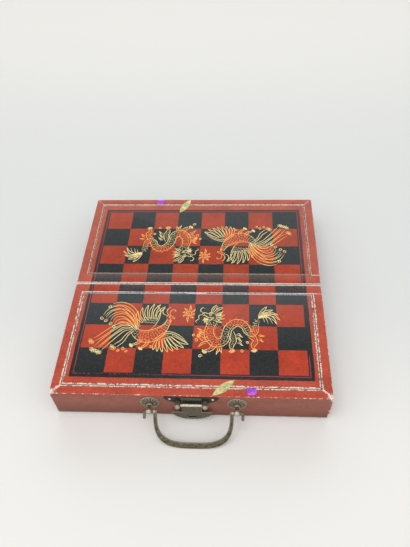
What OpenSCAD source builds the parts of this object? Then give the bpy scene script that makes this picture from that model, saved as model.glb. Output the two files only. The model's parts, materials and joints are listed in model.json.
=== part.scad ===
// Folding chess case of two lacquered wooden trays, lying open with the chequered board up.
// X runs along the fold, Y away from the handle side, Z up. The trays stand on z = 0.
// Each tray is drawn in its own frame: y is the distance from the fold, and the place()
// module turns the tray to the near or the far side.

/* [Case] */
// Width of the case along the fold
case_w = 280; // [250:1:320]
// Depth of one tray from its fold side to its front
tray_d = 142.5; // [130:0.5:160]
// Height of one tray from its rim to the board face
tray_h = 39.2; // [38:0.1:46]
// Thickness of the wooden walls
wall_t = 7; // [6.6:0.1:8.5]
// Gap between the two trays at the fold when the case lies open
fold_gap = 1; // [0.8:0.1:1.6]

/* [Board] */
// Thickness of the board rails and panels
board_t = 5; // [4.6:0.1:6.5]
// Width of the rails along the front and the sides
rail_w = 9.8; // [9:0.1:13]
// Width of the rail along the fold
fold_rail_w = 13.2; // [11:0.1:16]
// Width of the open groove round each panel
groove_w = 1.2; // [0.8:0.1:2]
// Depth of the open groove round each panel
groove_deep = 1.5; // [1:0.1:1.8]
// Thickness of the tongue round each panel
tongue_t = 2; // [1.6:0.1:2.2]
// Length of the panel tongue inside the rails
tongue_l = 3; // [2:0.1:4]
// Clearance of the panel tongue in the rails
tongue_fit = 0.15; // [0.1:0.05:0.3]

/* [Lining] */
// Thickness of the covered boards that line the walls
lining_t = 1.5; // [1:0.1:2.5]
// Distance of the wall lining from the rim
lining_inset = 2.5; // [1:0.1:5]
// Thickness of the padded lining under the board
pad_t = 4; // [3:0.1:6]
// Clearance of the padded lining
pad_fit = 0.3; // [0.3:0.05:0.8]

/* [Hinges] */
// Length of each hinge along the fold
hinge_l = 30; // [28:1:40]
// Distance between the centres of the two hinges
hinge_spacing = 170; // [120:1:200]
// Outer radius of the hinge barrel
barrel_r = 1.2; // [1.15:0.05:1.3]
// Radius of the hinge pin
hinge_pin_r = 0.6; // [0.5:0.05:0.65]
// Running clearance of the hinge pin
hinge_fit = 0.05; // [0.03:0.01:0.08]
// Thickness of the hinge leaf
leaf_t = 0.8; // [0.6:0.05:1]
// Reach of the hinge leaf from the fold line
leaf_reach = 6.6; // [6:0.1:7]
// Number of knuckles in one hinge
knuckle_count = 5; // [3:2:7]
// Gap between neighbouring knuckles
knuckle_gap = 0.25; // [0.15:0.05:0.4]
// Gap left between the two rims when the case is shut
rim_gap = 0.3; // [0.2:0.05:0.5]
// Radius of a hinge screw's shank
screw_r = 0.8; // [0.6:0.05:0.9]
// Radius of a hinge screw's head
screw_head_r = 1.5; // [1.2:0.05:1.7]
// Length of a hinge screw
screw_l = 8; // [6:0.5:12]
// Distance between the screws of one leaf
screw_pitch = 11; // [9:0.5:11]

/* [Handle] */
// Sideways place of the handle on the front wall
handle_x = 3.5; // [-6:0.5:6]
// Distance between the two eyes of the handle
eye_spacing = 87; // [80:0.5:100]
// Height of the eyes above the rim
eye_up = 25.9; // [24:0.1:27]
// Distance of the eye centres from the front wall
eye_out = 10.3; // [9.5:0.1:12]
// Bore radius of an eye
eye_r = 1.7; // [1.6:0.05:2]
// Radius of the bulb that an eye is bored through
bulb_r = 3.1; // [2.8:0.1:3.4]
// Running clearance of the handle in its eyes
eye_fit = 0.1; // [0.05:0.01:0.1]
// Radius of the eye pin's shank
shank_r = 1.6; // [1.3:0.05:1.8]
// Reach of the bent legs of an eye pin inside the wall
leg_reach = 9; // [6:0.5:12]
// Thickness of the bent legs of an eye pin
leg_t = 1.2; // [0.8:0.1:1.5]
// Half width of the handle, outside
bail_half_w = 39.7; // [37:0.1:40.5]
// Length of the handle from its pivot to its grip, outside
bail_l = 36.9; // [34:0.1:42]
// Width of the handle at its legs
bail_leg_w = 3.7; // [2.4:0.1:4.5]
// Width of the handle at its grip
bail_grip_w = 6.1; // [4.4:0.1:8]
// Thickness of the handle
bail_t = 2.6; // [2:0.1:3.2]
// Length of the turned-down stubs outside the eyes
stub_l = 6.5; // [5:0.5:9]
// Distance from an eye's centre to the middle of its stub
stub_out = 5.1; // [4.4:0.1:6]
// Gap left between an eye and the handle, which has slid to the right along its eyes
slide_gap = 0.2; // [0.1:0.05:0.5]
// Radius of the rosettes behind the eyes
rosette_r = 9.8; // [8.5:0.1:11]
// Thickness of the rosette at its rim
rosette_rim_h = 0.8; // [0.6:0.1:1.2]
// Height of the rosette's dome
rosette_h = 2.2; // [1.6:0.1:3]
// Number of beads round a rosette
bead_count = 16; // [12:1:20]
// Radius of a rosette bead
bead_r = 1.25; // [0.9:0.05:1.5]
// Radius of the rosette's collar
collar_r = 3.1; // [2.6:0.1:4]
// Height of the rosette's collar
collar_h = 4.6; // [3:0.1:5]

/* [Clasp] */
// Sideways place of the clasp on the front wall
clasp_x = 2; // [-6:0.5:6]
// Width of the clasp plate
plate_w = 54.6; // [50:0.1:60]
// Height of the clasp plate
plate_h = 13.5; // [13:0.1:18]
// Distance of the clasp plate below the board face
plate_drop = 1.4; // [0.8:0.1:3]
// Thickness of the clasp and keeper plates
plate_t = 1; // [0.6:0.1:1.2]
// Radius of the clasp posts
post_r = 2.8; // [2.4:0.1:3]
// Distance between the two clasp posts
post_spacing = 27.3; // [27:0.1:32]
// Reach of the clasp posts from the front wall
post_out = 9; // [8:0.1:11]
// Height of the clasp posts above the rim
post_up = 28.9; // [27:0.1:30]
// Radius of the neck that holds a post in the wall
post_neck_r = 1.5; // [1.2:0.1:1.8]
// Thickness of the burr that a post is riveted to inside the wall
burr_t = 1; // [0.8:0.1:1.5]
// Distance of the clasp pin from the front wall
clasp_pin_out = 4.6; // [4.4:0.1:5.5]
// Radius of the clasp and keeper pins
clasp_pin_r = 1; // [0.8:0.05:1.2]
// Running clearance of the clasp and keeper pins
clasp_fit = 0.06; // [0.03:0.01:0.1]
// Outer radius of the rolls that turn on the pins
roll_r = 1.8; // [1.6:0.05:1.9]
// Clearance of the flap's roll between the posts
roll_gap = 0.25; // [0.15:0.05:0.5]
// Width of the flap's neck
flap_neck_w = 19.8; // [16:0.1:20]
// Length of the flap's neck below the pin
flap_neck_l = 13.8; // [12:0.1:15]
// Width of the flap's half moon
moon_w = 40.8; // [36:0.1:46]
// Height of the flap's half moon
moon_h = 14.2; // [12:0.1:14.6]
// Thickness of the flap and of the keeper tongue
flap_t = 1.2; // [1:0.1:1.5]
// Length of the keyhole slot
slot_l = 8.8; // [8:0.1:10]
// Height of the keyhole slot
slot_h = 4.4; // [4:0.1:5]
// Distance of the keyhole slot below the flap's pin
slot_down = 21; // [20:0.1:22]

/* [Keeper] */
// Width of the keeper plate
keeper_w = 36; // [32:0.1:42]
// Height of the keeper plate
keeper_h = 15; // [12:0.1:17]
// Height of the keeper's pin above the rim
keeper_up = 14; // [13:0.1:16]
// Distance of the keeper's pin from the front wall
keeper_pin_out = 2.1; // [2:0.05:2.4]
// Width of the keeper tongue
tongue_w = 12; // [10:0.1:14]
// Length of the keeper's outer knuckles
keeper_knuckle_l = 4; // [3:0.1:5]
// Reach of the tongue beyond its lug
tongue_end = 5; // [4:0.1:6]
// Width of the tongue's lug
lug_w = 5.4; // [4.5:0.1:6]
// Thickness of the tongue's lug
lug_t = 2; // [1.6:0.1:2.2]
// Height of the tongue's lug above the tongue
lug_h = 7.4; // [6.5:0.1:8]
// Radius of the hole through the lug
lug_hole_r = 1.3; // [1:0.1:1.4]

/* [Nails] */
// Radius of a nail's domed head
nail_head_r = 1.6; // [1.2:0.1:2]
// Height of a nail's domed head
nail_head_h = 0.9; // [0.6:0.1:1.2]
// Radius of a nail's shank
nail_r = 0.6; // [0.4:0.05:0.8]
// Length of a nail's shank in the wall
nail_l = 5; // [3:0.5:5.5]
// Clearance of nails, screws and shanks in their holes
hole_fit = 0.05; // [0.02:0.01:0.1]
// Distance of the clasp's nails from the ends of its plate
nail_inset = 6; // [5:0.1:8]
// Distance of the clasp's nails below the top of its plate
nail_below = 3.4; // [3:0.1:3.8]
// Distance of the keeper's nails from the ends of its plate
keeper_nail_inset = 4; // [3.8:0.1:4.6]
// Height of the keeper's nails above its pin
keeper_nail_up = 5.2; // [4.8:0.1:5.4]

/* [Stickers] */
// Length of the leaf-shaped foil label
label_l = 28; // [20:0.5:32]
// Width of the leaf-shaped foil label
label_w = 9; // [7:0.5:12]
// Thickness of the foil label
label_t = 0.2; // [0.15:0.05:0.4]
// Length of the small square tag
tag_l = 9.6; // [7:0.1:10]
// Width of the small square tag
tag_w = 7.4; // [6:0.1:8]
// Thickness of the small square tag
tag_t = 1.5; // [0.5:0.1:2]
// Distance of the near label's centre from the front edge
near_label_inset = 9.8; // [9.4:0.1:20]
// Distance of the far label's centre from the front edge
far_label_inset = 12.6; // [12.6:0.1:20]
// Distance of the tags' centres from the front edge
tag_inset = 5.6; // [4:0.1:6]

/* [Hidden] */
$fn = 64;
NEAR = -1;
FAR = 1;

// Heights of the case above the surface that it stands on
hinge_z = barrel_r;
rim_z = hinge_z + rim_gap / 2;
top_z = rim_z + tray_h;
deck_z = top_z - board_t;

// Distances from the fold line, in a tray's own frame
back_y = fold_gap / 2;
front_y = back_y + tray_d;
half_w = case_w / 2;
table_clear = 0.05;
// Overshoot of cuts past the faces that they open
cut = 1;
// Clearance of what is let into the inside of the front wall
recess_fit = 0.2;

// Board panel: its raised field, and the tongue round it
field_x = half_w - rail_w - groove_w;
field_y0 = back_y + fold_rail_w + groove_w;
field_y1 = front_y - rail_w - groove_w;
tongue_grow = groove_w + tongue_l;
tongue_z = top_z - groove_deep - tongue_t;

// Hinge knuckles, and the free radius cut for them in the walls
knuckle_l = hinge_l / knuckle_count;
knuckle_relief_r = barrel_r + 0.3;
leaf_fit = 0.1;
screw_y = (back_y + leaf_reach + barrel_r) / 2;

// Handle: the tilt at which its grip lies on the table
eye_z = rim_z + eye_up;
pivot_r = eye_r - eye_fit;
bail_radius = sqrt(pow(bail_l, 2) + pow(bail_t / 2, 2));
bail_tilt = asin((eye_z - table_clear) / bail_radius) - atan((bail_t / 2) / bail_l);
bail_reach = eye_out + bail_l * cos(bail_tilt) + (bail_t / 2) * sin(bail_tilt);
bail_power = 3.2;
stub_r = 0.94 * pivot_r;
bore_half_l = sqrt(pow(bulb_r, 2) - pow(eye_r, 2));
bail_slide = min(stub_out - stub_r, eye_spacing / 2 - bail_half_w) - bore_half_l - slide_gap;

// Clasp
plate_top_z = top_z - plate_drop;
post_z = rim_z + post_up;
plate_power = 2;
flap_roll_l = post_spacing - 2 * (post_r + roll_gap);
nail_x = plate_w / 2 - nail_inset;
nail_z = plate_top_z - nail_below;

// Keeper: its tongue reaches the keyhole when shut, and lies on the table when open
keeper_z = rim_z + keeper_up;
lug_at = keeper_up + rim_gap + post_up - slot_down;
tongue_reach = lug_at + tongue_end;
tongue_half_t = flap_t / 2;
tongue_radius = sqrt(pow(tongue_reach, 2) + pow(tongue_half_t, 2));
tongue_open = acos((keeper_z - table_clear) / tongue_radius) + atan(tongue_half_t / tongue_reach);
keeper_reach = keeper_pin_out + max(
    tongue_reach * sin(tongue_open) + tongue_half_t * cos(tongue_open),
    (lug_at + lug_t / 2) * sin(tongue_open) + (tongue_half_t + lug_h) * cos(tongue_open));
keeper_nail_x = keeper_w / 2 - keeper_nail_inset;
keeper_nail_z = keeper_z + keeper_nail_up;
keeper_seam = 0.3;
keeper_pin_l = tongue_w + 2 * (keeper_knuckle_l + keeper_seam);

// Place of the fold, so that the origin is under the middle of the whole outline
fold_y = (bail_reach - keeper_reach) / 2;

// Stickers: place and turn on each tray
near_label_turn = 39.5;
far_label_turn = 63;
near_label_at = [33.6, front_y - near_label_inset];
far_label_at = [-22.6, front_y - far_label_inset];
near_tag_at = [61.4, front_y - tag_inset];
far_tag_at = [-55, front_y - tag_inset];

lacquer = [0.62, 0.20, 0.13];
lacquer_dark = [0.42, 0.17, 0.13];
bronze = [0.42, 0.38, 0.28];
silk = [0.78, 0.62, 0.30];

// Puts a tray drawn in its own frame on the near or the far side of the fold
module place(side) {
    translate([0, fold_y, 0]) mirror([0, side == NEAR ? 1 : 0, 0]) children();
}

// A plate outline, drawn as x and height, made solid outwards from a wall
module on_wall(out, thickness) {
    translate([0, out + thickness, 0]) rotate([90, 0, 0]) linear_extrude(thickness) children();
}

// A round bar pointing outwards from a wall
module outward(from, to, r) {
    translate([0, from, 0]) rotate([-90, 0, 0]) cylinder(r = r, h = to - from);
}

// A round bar along the fold, centred
module along_x(length, r) {
    rotate([0, 90, 0]) cylinder(r = r, h = length, center = true);
}

// A block given by its lowest and highest corners
module block(low, high) {
    translate(low) cube([high[0] - low[0], high[1] - low[1], high[2] - low[2]]);
}

// Points of half a superellipse below its own flat side, from left to right
function half_oval(a, b, power, steps) = [
    for (i = [0:steps]) let (t = 180 * i / steps)
        [-a * sign(cos(t)) * pow(abs(cos(t)), 2 / power), -b * pow(sin(t), 2 / power)]
];

// Walls
module side_wall(side, hand) {
    color(lacquer_dark) place(side)
        block([hand * half_w - (hand > 0 ? wall_t : 0), back_y + wall_t, rim_z],
              [hand * half_w + (hand > 0 ? 0 : wall_t), front_y - wall_t, deck_z]);
}

module plain_front_wall() {
    block([-half_w, front_y - wall_t, rim_z], [half_w, front_y, deck_z]);
}

module eye_pin_hole(x) {
    translate([x, front_y, eye_z]) {
        outward(-wall_t - cut, cut, shank_r + hole_fit);
        block([-leg_reach - recess_fit, -wall_t - cut, -shank_r - recess_fit],
              [leg_reach + recess_fit, leg_t + recess_fit / 2 - wall_t, shank_r + recess_fit]);
    }
}

module post_hole(x) {
    translate([x, front_y, post_z]) {
        outward(-wall_t - cut, cut, post_neck_r + hole_fit);
        outward(-wall_t - cut, burr_t + recess_fit / 2 - wall_t, post_r + recess_fit);
    }
}

module nail_hole(x, z) {
    translate([x, front_y, z]) outward(-nail_l - recess_fit, cut, nail_r + hole_fit);
}

module clasp_nail_holes() {
    for (hand = [-1, 1]) nail_hole(clasp_x + hand * nail_x, nail_z);
}

module near_front_wall() {
    color(lacquer_dark) place(NEAR) difference() {
        plain_front_wall();
        for (hand = [-1, 1]) {
            eye_pin_hole(handle_x + hand * eye_spacing / 2);
            post_hole(clasp_x + hand * post_spacing / 2);
        }
        clasp_nail_holes();
    }
}

module far_front_wall() {
    color(lacquer_dark) place(FAR) difference() {
        plain_front_wall();
        for (hand = [-1, 1]) nail_hole(clasp_x + hand * keeper_nail_x, keeper_nail_z);
    }
}

module back_wall(side) {
    color(lacquer_dark) place(side) difference() {
        block([-half_w, back_y, rim_z], [half_w, back_y + wall_t, deck_z]);
        for (hand = [-1, 1]) translate([hand * hinge_spacing / 2, 0, 0]) {
            block([-hinge_l / 2 - leaf_fit, 0, rim_z - cut],
                  [hinge_l / 2 + leaf_fit, leaf_reach + leaf_fit, rim_z + leaf_t]);
            translate([0, 0, hinge_z]) along_x(hinge_l + 2 * leaf_fit, knuckle_relief_r);
            for (k = [-1:1]) translate([k * screw_pitch, screw_y, rim_z])
                cylinder(r = screw_r + hole_fit, h = screw_l + recess_fit);
        }
    }
}

// Board rails, mitred at the front and butted at the fold, with a slot for the panel's tongue
module rail(side, outline) {
    color(lacquer) place(side) difference() {
        translate([0, 0, deck_z]) linear_extrude(board_t) polygon(outline);
        grow = tongue_grow + tongue_fit;
        block([-field_x - grow, field_y0 - grow, tongue_z - tongue_fit],
              [field_x + grow, field_y1 + grow, tongue_z + tongue_t + tongue_fit]);
    }
}

function rail_corners(hand) = [
    [hand * half_w, front_y], [hand * (half_w - rail_w), front_y - rail_w]
];

module side_rail(side, hand) {
    rail(side, concat(rail_corners(hand), [
        [hand * (half_w - rail_w), back_y + fold_rail_w], [hand * half_w, back_y + fold_rail_w]
    ]));
}

module front_rail(side) {
    left = rail_corners(-1);
    right = rail_corners(1);
    rail(side, [left[0], right[0], right[1], left[1]]);
}

// The clasp's nails go in where this rail meets the wall below it
module near_front_rail() {
    difference() {
        front_rail(NEAR);
        place(NEAR) clasp_nail_holes();
    }
}

module back_rail(side) {
    rail(side, [
        [-half_w, back_y], [half_w, back_y],
        [half_w, back_y + fold_rail_w], [-half_w, back_y + fold_rail_w]
    ]);
}

module panel(side) {
    color(lacquer) place(side) {
        block([-field_x, field_y0, deck_z], [field_x, field_y1, top_z]);
        block([-field_x - tongue_grow, field_y0 - tongue_grow, tongue_z],
              [field_x + tongue_grow, field_y1 + tongue_grow, tongue_z + tongue_t]);
    }
}

// Lining
module wall_lining(side) {
    low_z = rim_z + lining_inset;
    inner_x = half_w - wall_t;
    y0 = back_y + wall_t;
    y1 = front_y - wall_t;
    color(silk) place(side) {
        block([-inner_x, y0, low_z], [inner_x, y0 + lining_t, deck_z]);
        block([-inner_x, y1 - lining_t, low_z], [inner_x, y1, deck_z]);
        for (hand = [-1, 1])
            block([hand * inner_x - (hand > 0 ? lining_t : 0), y0 + lining_t, low_z],
                  [hand * inner_x + (hand > 0 ? 0 : lining_t), y1 - lining_t, deck_z]);
    }
}

module floor_pad(side) {
    edge = wall_t + lining_t + pad_fit;
    color(silk) place(side)
        block([-half_w + edge, back_y + edge, deck_z - pad_fit - pad_t],
              [half_w - edge, front_y - edge, deck_z - pad_fit]);
}

// Hinges: odd knuckles belong to the near leaf, even ones to the far leaf
module knuckle_span(k, r, grow) {
    translate([(k - (knuckle_count - 1) / 2) * knuckle_l, 0, hinge_z])
        along_x(knuckle_l - knuckle_gap + 2 * grow, r);
}

module screw_shape(grow) {
    cylinder(r1 = screw_head_r + grow, r2 = screw_r + grow, h = leaf_t);
    cylinder(r = screw_r + grow, h = screw_l);
}

module hinge_leaves(side) {
    own = side == NEAR ? 0 : 1;
    color(bronze) place(side) for (hand = [-1, 1]) translate([hand * hinge_spacing / 2, 0, 0])
        difference() {
            union() {
                block([-hinge_l / 2, barrel_r / 2, rim_z], [hinge_l / 2, leaf_reach, rim_z + leaf_t]);
                for (k = [own:2:knuckle_count - 1]) knuckle_span(k, barrel_r, 0);
            }
            for (k = [1 - own:2:knuckle_count - 1]) knuckle_span(k, knuckle_relief_r, 0.75 * knuckle_gap);
            translate([0, 0, hinge_z]) along_x(hinge_l + 2 * cut, hinge_pin_r + hinge_fit);
            for (k = [-1:1]) translate([k * screw_pitch, screw_y, rim_z]) screw_shape(hole_fit);
        }
}

module hinge_screws(side) {
    color(bronze) place(side) for (hand = [-1, 1], k = [-1:1])
        translate([hand * hinge_spacing / 2 + k * screw_pitch, screw_y, rim_z]) screw_shape(0);
}

module hinge_pins() {
    color(bronze) place(NEAR) for (hand = [-1, 1])
        translate([hand * hinge_spacing / 2, 0, hinge_z]) along_x(hinge_l, hinge_pin_r);
}

// Handle
module rosette(hand) {
    color(bronze) place(NEAR) translate([handle_x + hand * eye_spacing / 2, front_y, eye_z])
        difference() {
            rotate([-90, 0, 0]) union() {
                rotate_extrude() polygon([
                    [0, 0], [rosette_r, 0], [rosette_r, rosette_rim_h],
                    for (i = [0:6]) let (t = 15 * i)
                        [(rosette_r - 2 * bead_r) * cos(t),
                         rosette_rim_h + (rosette_h - rosette_rim_h) * sin(t)]
                ]);
                cylinder(r = collar_r, h = collar_h);
                for (i = [0:bead_count - 1]) rotate([0, 0, 360 * i / bead_count])
                    translate([rosette_r - bead_r, 0, rosette_rim_h]) sphere(r = bead_r);
            }
            outward(-2 * bead_r, collar_h + cut, shank_r + hole_fit);
            block([-2 * rosette_r, -2 * bead_r, -2 * rosette_r], [2 * rosette_r, 0, 2 * rosette_r]);
        }
}

module eye_pin(hand) {
    color(bronze) place(NEAR) translate([handle_x + hand * eye_spacing / 2, front_y, eye_z]) {
        difference() {
            union() {
                translate([0, eye_out, 0]) sphere(r = bulb_r);
                outward(leg_t / 2 - wall_t, eye_out, shank_r);
            }
            translate([0, eye_out, 0]) along_x(4 * bulb_r, eye_r);
        }
        block([-leg_reach, -wall_t, -shank_r], [leg_reach, leg_t - wall_t, shank_r]);
    }
}

module bail_band() {
    steps = 32;
    inner = half_oval(bail_half_w - bail_leg_w, bail_l - bail_grip_w, bail_power, steps);
    linear_extrude(bail_t, center = true) mirror([0, 1])
        polygon(concat(half_oval(bail_half_w, bail_l, bail_power, steps),
                       [for (i = [steps:-1:0]) inner[i]]));
}

module bail_handle() {
    inner_x = bail_half_w - bail_leg_w;
    stub_x = eye_spacing / 2 + stub_out;
    shoulder_r = 1.25 * pivot_r;
    color(bronze) place(NEAR) translate([handle_x + bail_slide, front_y + eye_out, eye_z]) rotate([-bail_tilt, 0, 0]) {
        bail_band();
        for (hand = [-1, 1]) {
            translate([hand * (inner_x + bail_half_w) / 2, 0, 0]) along_x(bail_leg_w, shoulder_r);
            translate([hand * (inner_x + stub_x) / 2, 0, 0]) along_x(stub_x - inner_x, pivot_r);
            translate([hand * stub_x, 0, 0]) sphere(r = pivot_r);
            translate([hand * stub_x, 0, 0]) outward(0, stub_l, stub_r);
            translate([hand * stub_x, stub_l, 0]) sphere(r = stub_r);
        }
    }
}

// Clasp
module plate_outline(width, height) {
    polygon(half_oval(width / 2, height, plate_power, 24));
}

module at_clasp(side) {
    place(side) translate([clasp_x, front_y, 0]) children();
}

module clasp_plate() {
    color(bronze) at_clasp(NEAR) difference() {
        translate([0, 0, plate_top_z]) on_wall(0, plate_t) plate_outline(plate_w, plate_h);
        for (hand = [-1, 1]) {
            translate([hand * post_spacing / 2, 0, post_z])
                outward(-cut, plate_t + cut, post_neck_r + hole_fit);
            translate([hand * nail_x, 0, nail_z]) outward(-cut, plate_t + cut, nail_r + hole_fit);
        }
    }
}

module clasp_posts() {
    color(bronze) at_clasp(NEAR) for (hand = [-1, 1]) translate([hand * post_spacing / 2, 0, post_z])
        difference() {
            union() {
                outward(plate_t, post_out - post_r, post_r);
                translate([0, post_out - post_r, 0]) sphere(r = post_r);
                outward(burr_t / 2 - wall_t, plate_t + post_r / 4, post_neck_r);
                outward(-wall_t, burr_t - wall_t, post_r);
            }
            translate([0, clasp_pin_out, 0]) along_x(4 * post_r, clasp_pin_r + clasp_fit);
        }
}

module nail(x, z) {
    translate([x, 0, z]) {
        outward(-nail_l, plate_t + nail_head_h / 2, nail_r);
        translate([0, plate_t, 0]) rotate([-90, 0, 0]) rotate_extrude() polygon([
            [0, 0], [nail_head_r, 0],
            for (i = [1:6]) let (t = 15 * i) [nail_head_r * cos(t), nail_head_h * sin(t)]
        ]);
    }
}

module clasp_nails() {
    color(bronze) at_clasp(NEAR) for (hand = [-1, 1]) nail(hand * nail_x, nail_z);
}

module clasp_pin() {
    color(bronze) at_clasp(NEAR) translate([0, clasp_pin_out, post_z]) {
        along_x(post_spacing + 2 * post_r + clasp_pin_r, clasp_pin_r);
    }
}

module roll(length) {
    difference() {
        along_x(length, roll_r);
        along_x(length + 2 * cut, clasp_pin_r + clasp_fit);
    }
}

module slot_outline() {
    end_r = slot_h / 2;
    square([slot_l - slot_h, slot_h], center = true);
    for (hand = [-1, 1]) translate([hand * (slot_l / 2 - end_r), 0]) circle(r = end_r);
}

module clasp_flap() {
    color(bronze) at_clasp(NEAR) translate([0, clasp_pin_out, post_z]) {
        roll(flap_roll_l);
        difference() {
            on_wall(-flap_t / 2, flap_t) {
                translate([-flap_neck_w / 2, -flap_neck_l - flap_t])
                    square([flap_neck_w, flap_neck_l + flap_t]);
                translate([0, -flap_neck_l]) polygon(half_oval(moon_w / 2, moon_h, 2, 32));
            }
            along_x(flap_roll_l + 2 * cut, clasp_pin_r + clasp_fit);
            translate([0, 0, -slot_down]) on_wall(-flap_t, 2 * flap_t) slot_outline();
        }
    }
}

// Keeper on the far tray: a hinged tongue whose lug goes through the keyhole when shut
module keeper_plate() {
    color(bronze) at_clasp(FAR) {
        difference() {
            translate([0, 0, keeper_z]) union() {
                on_wall(0, plate_t) mirror([0, 1]) plate_outline(keeper_w, keeper_h);
                for (hand = [-1, 1])
                    translate([hand * (tongue_w / 2 + keeper_seam + keeper_knuckle_l / 2), 0, 0]) {
                        translate([0, keeper_pin_out, 0]) along_x(keeper_knuckle_l, roll_r);
                        block([-keeper_knuckle_l / 2, 0, 0], [keeper_knuckle_l / 2, keeper_pin_out, roll_r]);
                    }
            }
            translate([0, keeper_pin_out, keeper_z]) {
                along_x(keeper_w, clasp_pin_r + clasp_fit);
                along_x(tongue_w + 2 * keeper_seam, roll_r + keeper_seam);
            }
            for (hand = [-1, 1]) translate([hand * keeper_nail_x, 0, keeper_nail_z])
                outward(-cut, plate_t + cut, nail_r + hole_fit);
        }
    }
}

module keeper_nails() {
    color(bronze) at_clasp(FAR) for (hand = [-1, 1]) nail(hand * keeper_nail_x, keeper_nail_z);
}

module keeper_pin() {
    color(bronze) at_clasp(FAR) translate([0, keeper_pin_out, keeper_z]) along_x(keeper_pin_l, clasp_pin_r);
}

module keeper_tongue() {
    color(bronze) at_clasp(FAR) translate([0, keeper_pin_out, keeper_z]) rotate([tongue_open, 0, 0]) {
        roll(tongue_w);
        difference() {
            on_wall(-flap_t / 2, flap_t) {
                translate([-tongue_w / 2, tongue_w / 2 - tongue_reach])
                    square([tongue_w, tongue_reach - tongue_w / 2]);
                translate([0, tongue_w / 2 - tongue_reach]) circle(r = tongue_w / 2);
            }
            along_x(tongue_w + 2 * cut, clasp_pin_r + clasp_fit);
        }
        lug_y = flap_t / 2 + lug_h - lug_w / 2;
        difference() {
            union() {
                block([-lug_w / 2, 0, -lug_at - lug_t / 2], [lug_w / 2, lug_y, lug_t / 2 - lug_at]);
                translate([0, lug_y, -lug_at - lug_t / 2]) cylinder(r = lug_w / 2, h = lug_t);
            }
            translate([0, lug_y, -lug_at - lug_t]) cylinder(r = lug_hole_r, h = 2 * lug_t);
        }
    }
}

// Stickers
module leaf_outline() {
    bow = (pow(label_l, 2) + pow(label_w, 2)) / (4 * label_w);
    intersection() {
        translate([0, bow - label_w / 2]) circle(r = bow, $fn = 180);
        translate([0, label_w / 2 - bow]) circle(r = bow, $fn = 180);
    }
}

module label(side, at, turn) {
    color([0.72, 0.72, 0.30]) place(side) translate([at[0], at[1], top_z])
        rotate([0, 0, turn]) linear_extrude(label_t) leaf_outline();
}

module tag(side, at) {
    color([0.36, 0.12, 0.45]) place(side) translate([at[0] - tag_l / 2, at[1] - tag_w / 2, top_z])
        cube([tag_l, tag_w, tag_t]);
}

near_front_wall();
back_wall(NEAR);  // near_back_wall
side_wall(NEAR, -1);  // near_left_wall
side_wall(NEAR, 1);  // near_right_wall
near_front_rail();
back_rail(NEAR);  // near_back_rail
side_rail(NEAR, -1);  // near_left_rail
side_rail(NEAR, 1);  // near_right_rail
panel(NEAR);  // near_panel
wall_lining(NEAR);  // near_wall_lining
floor_pad(NEAR);  // near_floor_pad
hinge_leaves(NEAR);  // near_hinge_leaves
hinge_screws(NEAR);  // near_hinge_screws
far_front_wall();
back_wall(FAR);  // far_back_wall
side_wall(FAR, -1);  // far_left_wall
side_wall(FAR, 1);  // far_right_wall
front_rail(FAR);  // far_front_rail
back_rail(FAR);  // far_back_rail
side_rail(FAR, -1);  // far_left_rail
side_rail(FAR, 1);  // far_right_rail
panel(FAR);  // far_panel
wall_lining(FAR);  // far_wall_lining
floor_pad(FAR);  // far_floor_pad
hinge_leaves(FAR);  // far_hinge_leaves
hinge_screws(FAR);  // far_hinge_screws
hinge_pins();
rosette(-1);  // left_rosette
rosette(1);  // right_rosette
eye_pin(-1);  // left_eye_pin
eye_pin(1);  // right_eye_pin
bail_handle();
clasp_plate();
clasp_posts();
clasp_nails();
clasp_pin();
clasp_flap();
keeper_plate();
keeper_nails();
keeper_pin();
keeper_tongue();
label(NEAR, near_label_at, -near_label_turn);  // near_label
tag(NEAR, near_tag_at);  // near_tag
label(FAR, far_label_at, far_label_turn);  // far_label
tag(FAR, far_tag_at);  // far_tag
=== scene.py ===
"""Lacquered folding chess case, lying open on its rims with the chequered board up.

Lengths are in millimetres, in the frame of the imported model, and become metres when a
mesh is made. A tray's own frame counts y from the fold, away from it, on either side.
"""

import json
import logging
import math
import random
from collections.abc import Callable, Iterable, Sequence
from dataclasses import dataclass, field
from enum import Enum

import bmesh
import bpy
from mathutils import Matrix, Vector

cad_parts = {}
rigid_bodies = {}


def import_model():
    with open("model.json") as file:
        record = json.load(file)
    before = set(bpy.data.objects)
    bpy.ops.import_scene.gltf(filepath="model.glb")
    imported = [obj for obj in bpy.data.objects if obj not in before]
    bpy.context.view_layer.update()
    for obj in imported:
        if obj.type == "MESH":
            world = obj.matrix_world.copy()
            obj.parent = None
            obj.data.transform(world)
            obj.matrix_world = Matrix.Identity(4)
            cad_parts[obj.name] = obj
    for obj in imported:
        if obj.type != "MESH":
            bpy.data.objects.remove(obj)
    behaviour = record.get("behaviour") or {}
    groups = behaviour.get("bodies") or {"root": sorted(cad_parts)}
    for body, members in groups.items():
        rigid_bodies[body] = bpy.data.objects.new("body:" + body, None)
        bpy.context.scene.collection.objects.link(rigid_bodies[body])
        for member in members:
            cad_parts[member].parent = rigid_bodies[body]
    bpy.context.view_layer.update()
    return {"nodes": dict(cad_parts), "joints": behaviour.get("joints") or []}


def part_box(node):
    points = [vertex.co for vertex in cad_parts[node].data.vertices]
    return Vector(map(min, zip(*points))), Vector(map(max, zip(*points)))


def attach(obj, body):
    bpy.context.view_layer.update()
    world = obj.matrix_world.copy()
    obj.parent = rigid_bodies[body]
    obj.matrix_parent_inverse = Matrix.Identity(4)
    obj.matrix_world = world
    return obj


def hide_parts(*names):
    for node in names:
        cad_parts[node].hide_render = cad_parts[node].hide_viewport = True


LOG = logging.getLogger("chess_case")
MM = 0.001
Point = tuple[float, float, float]
Colour = tuple[float, float, float]
Flat = tuple[float, float]

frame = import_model()


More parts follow.
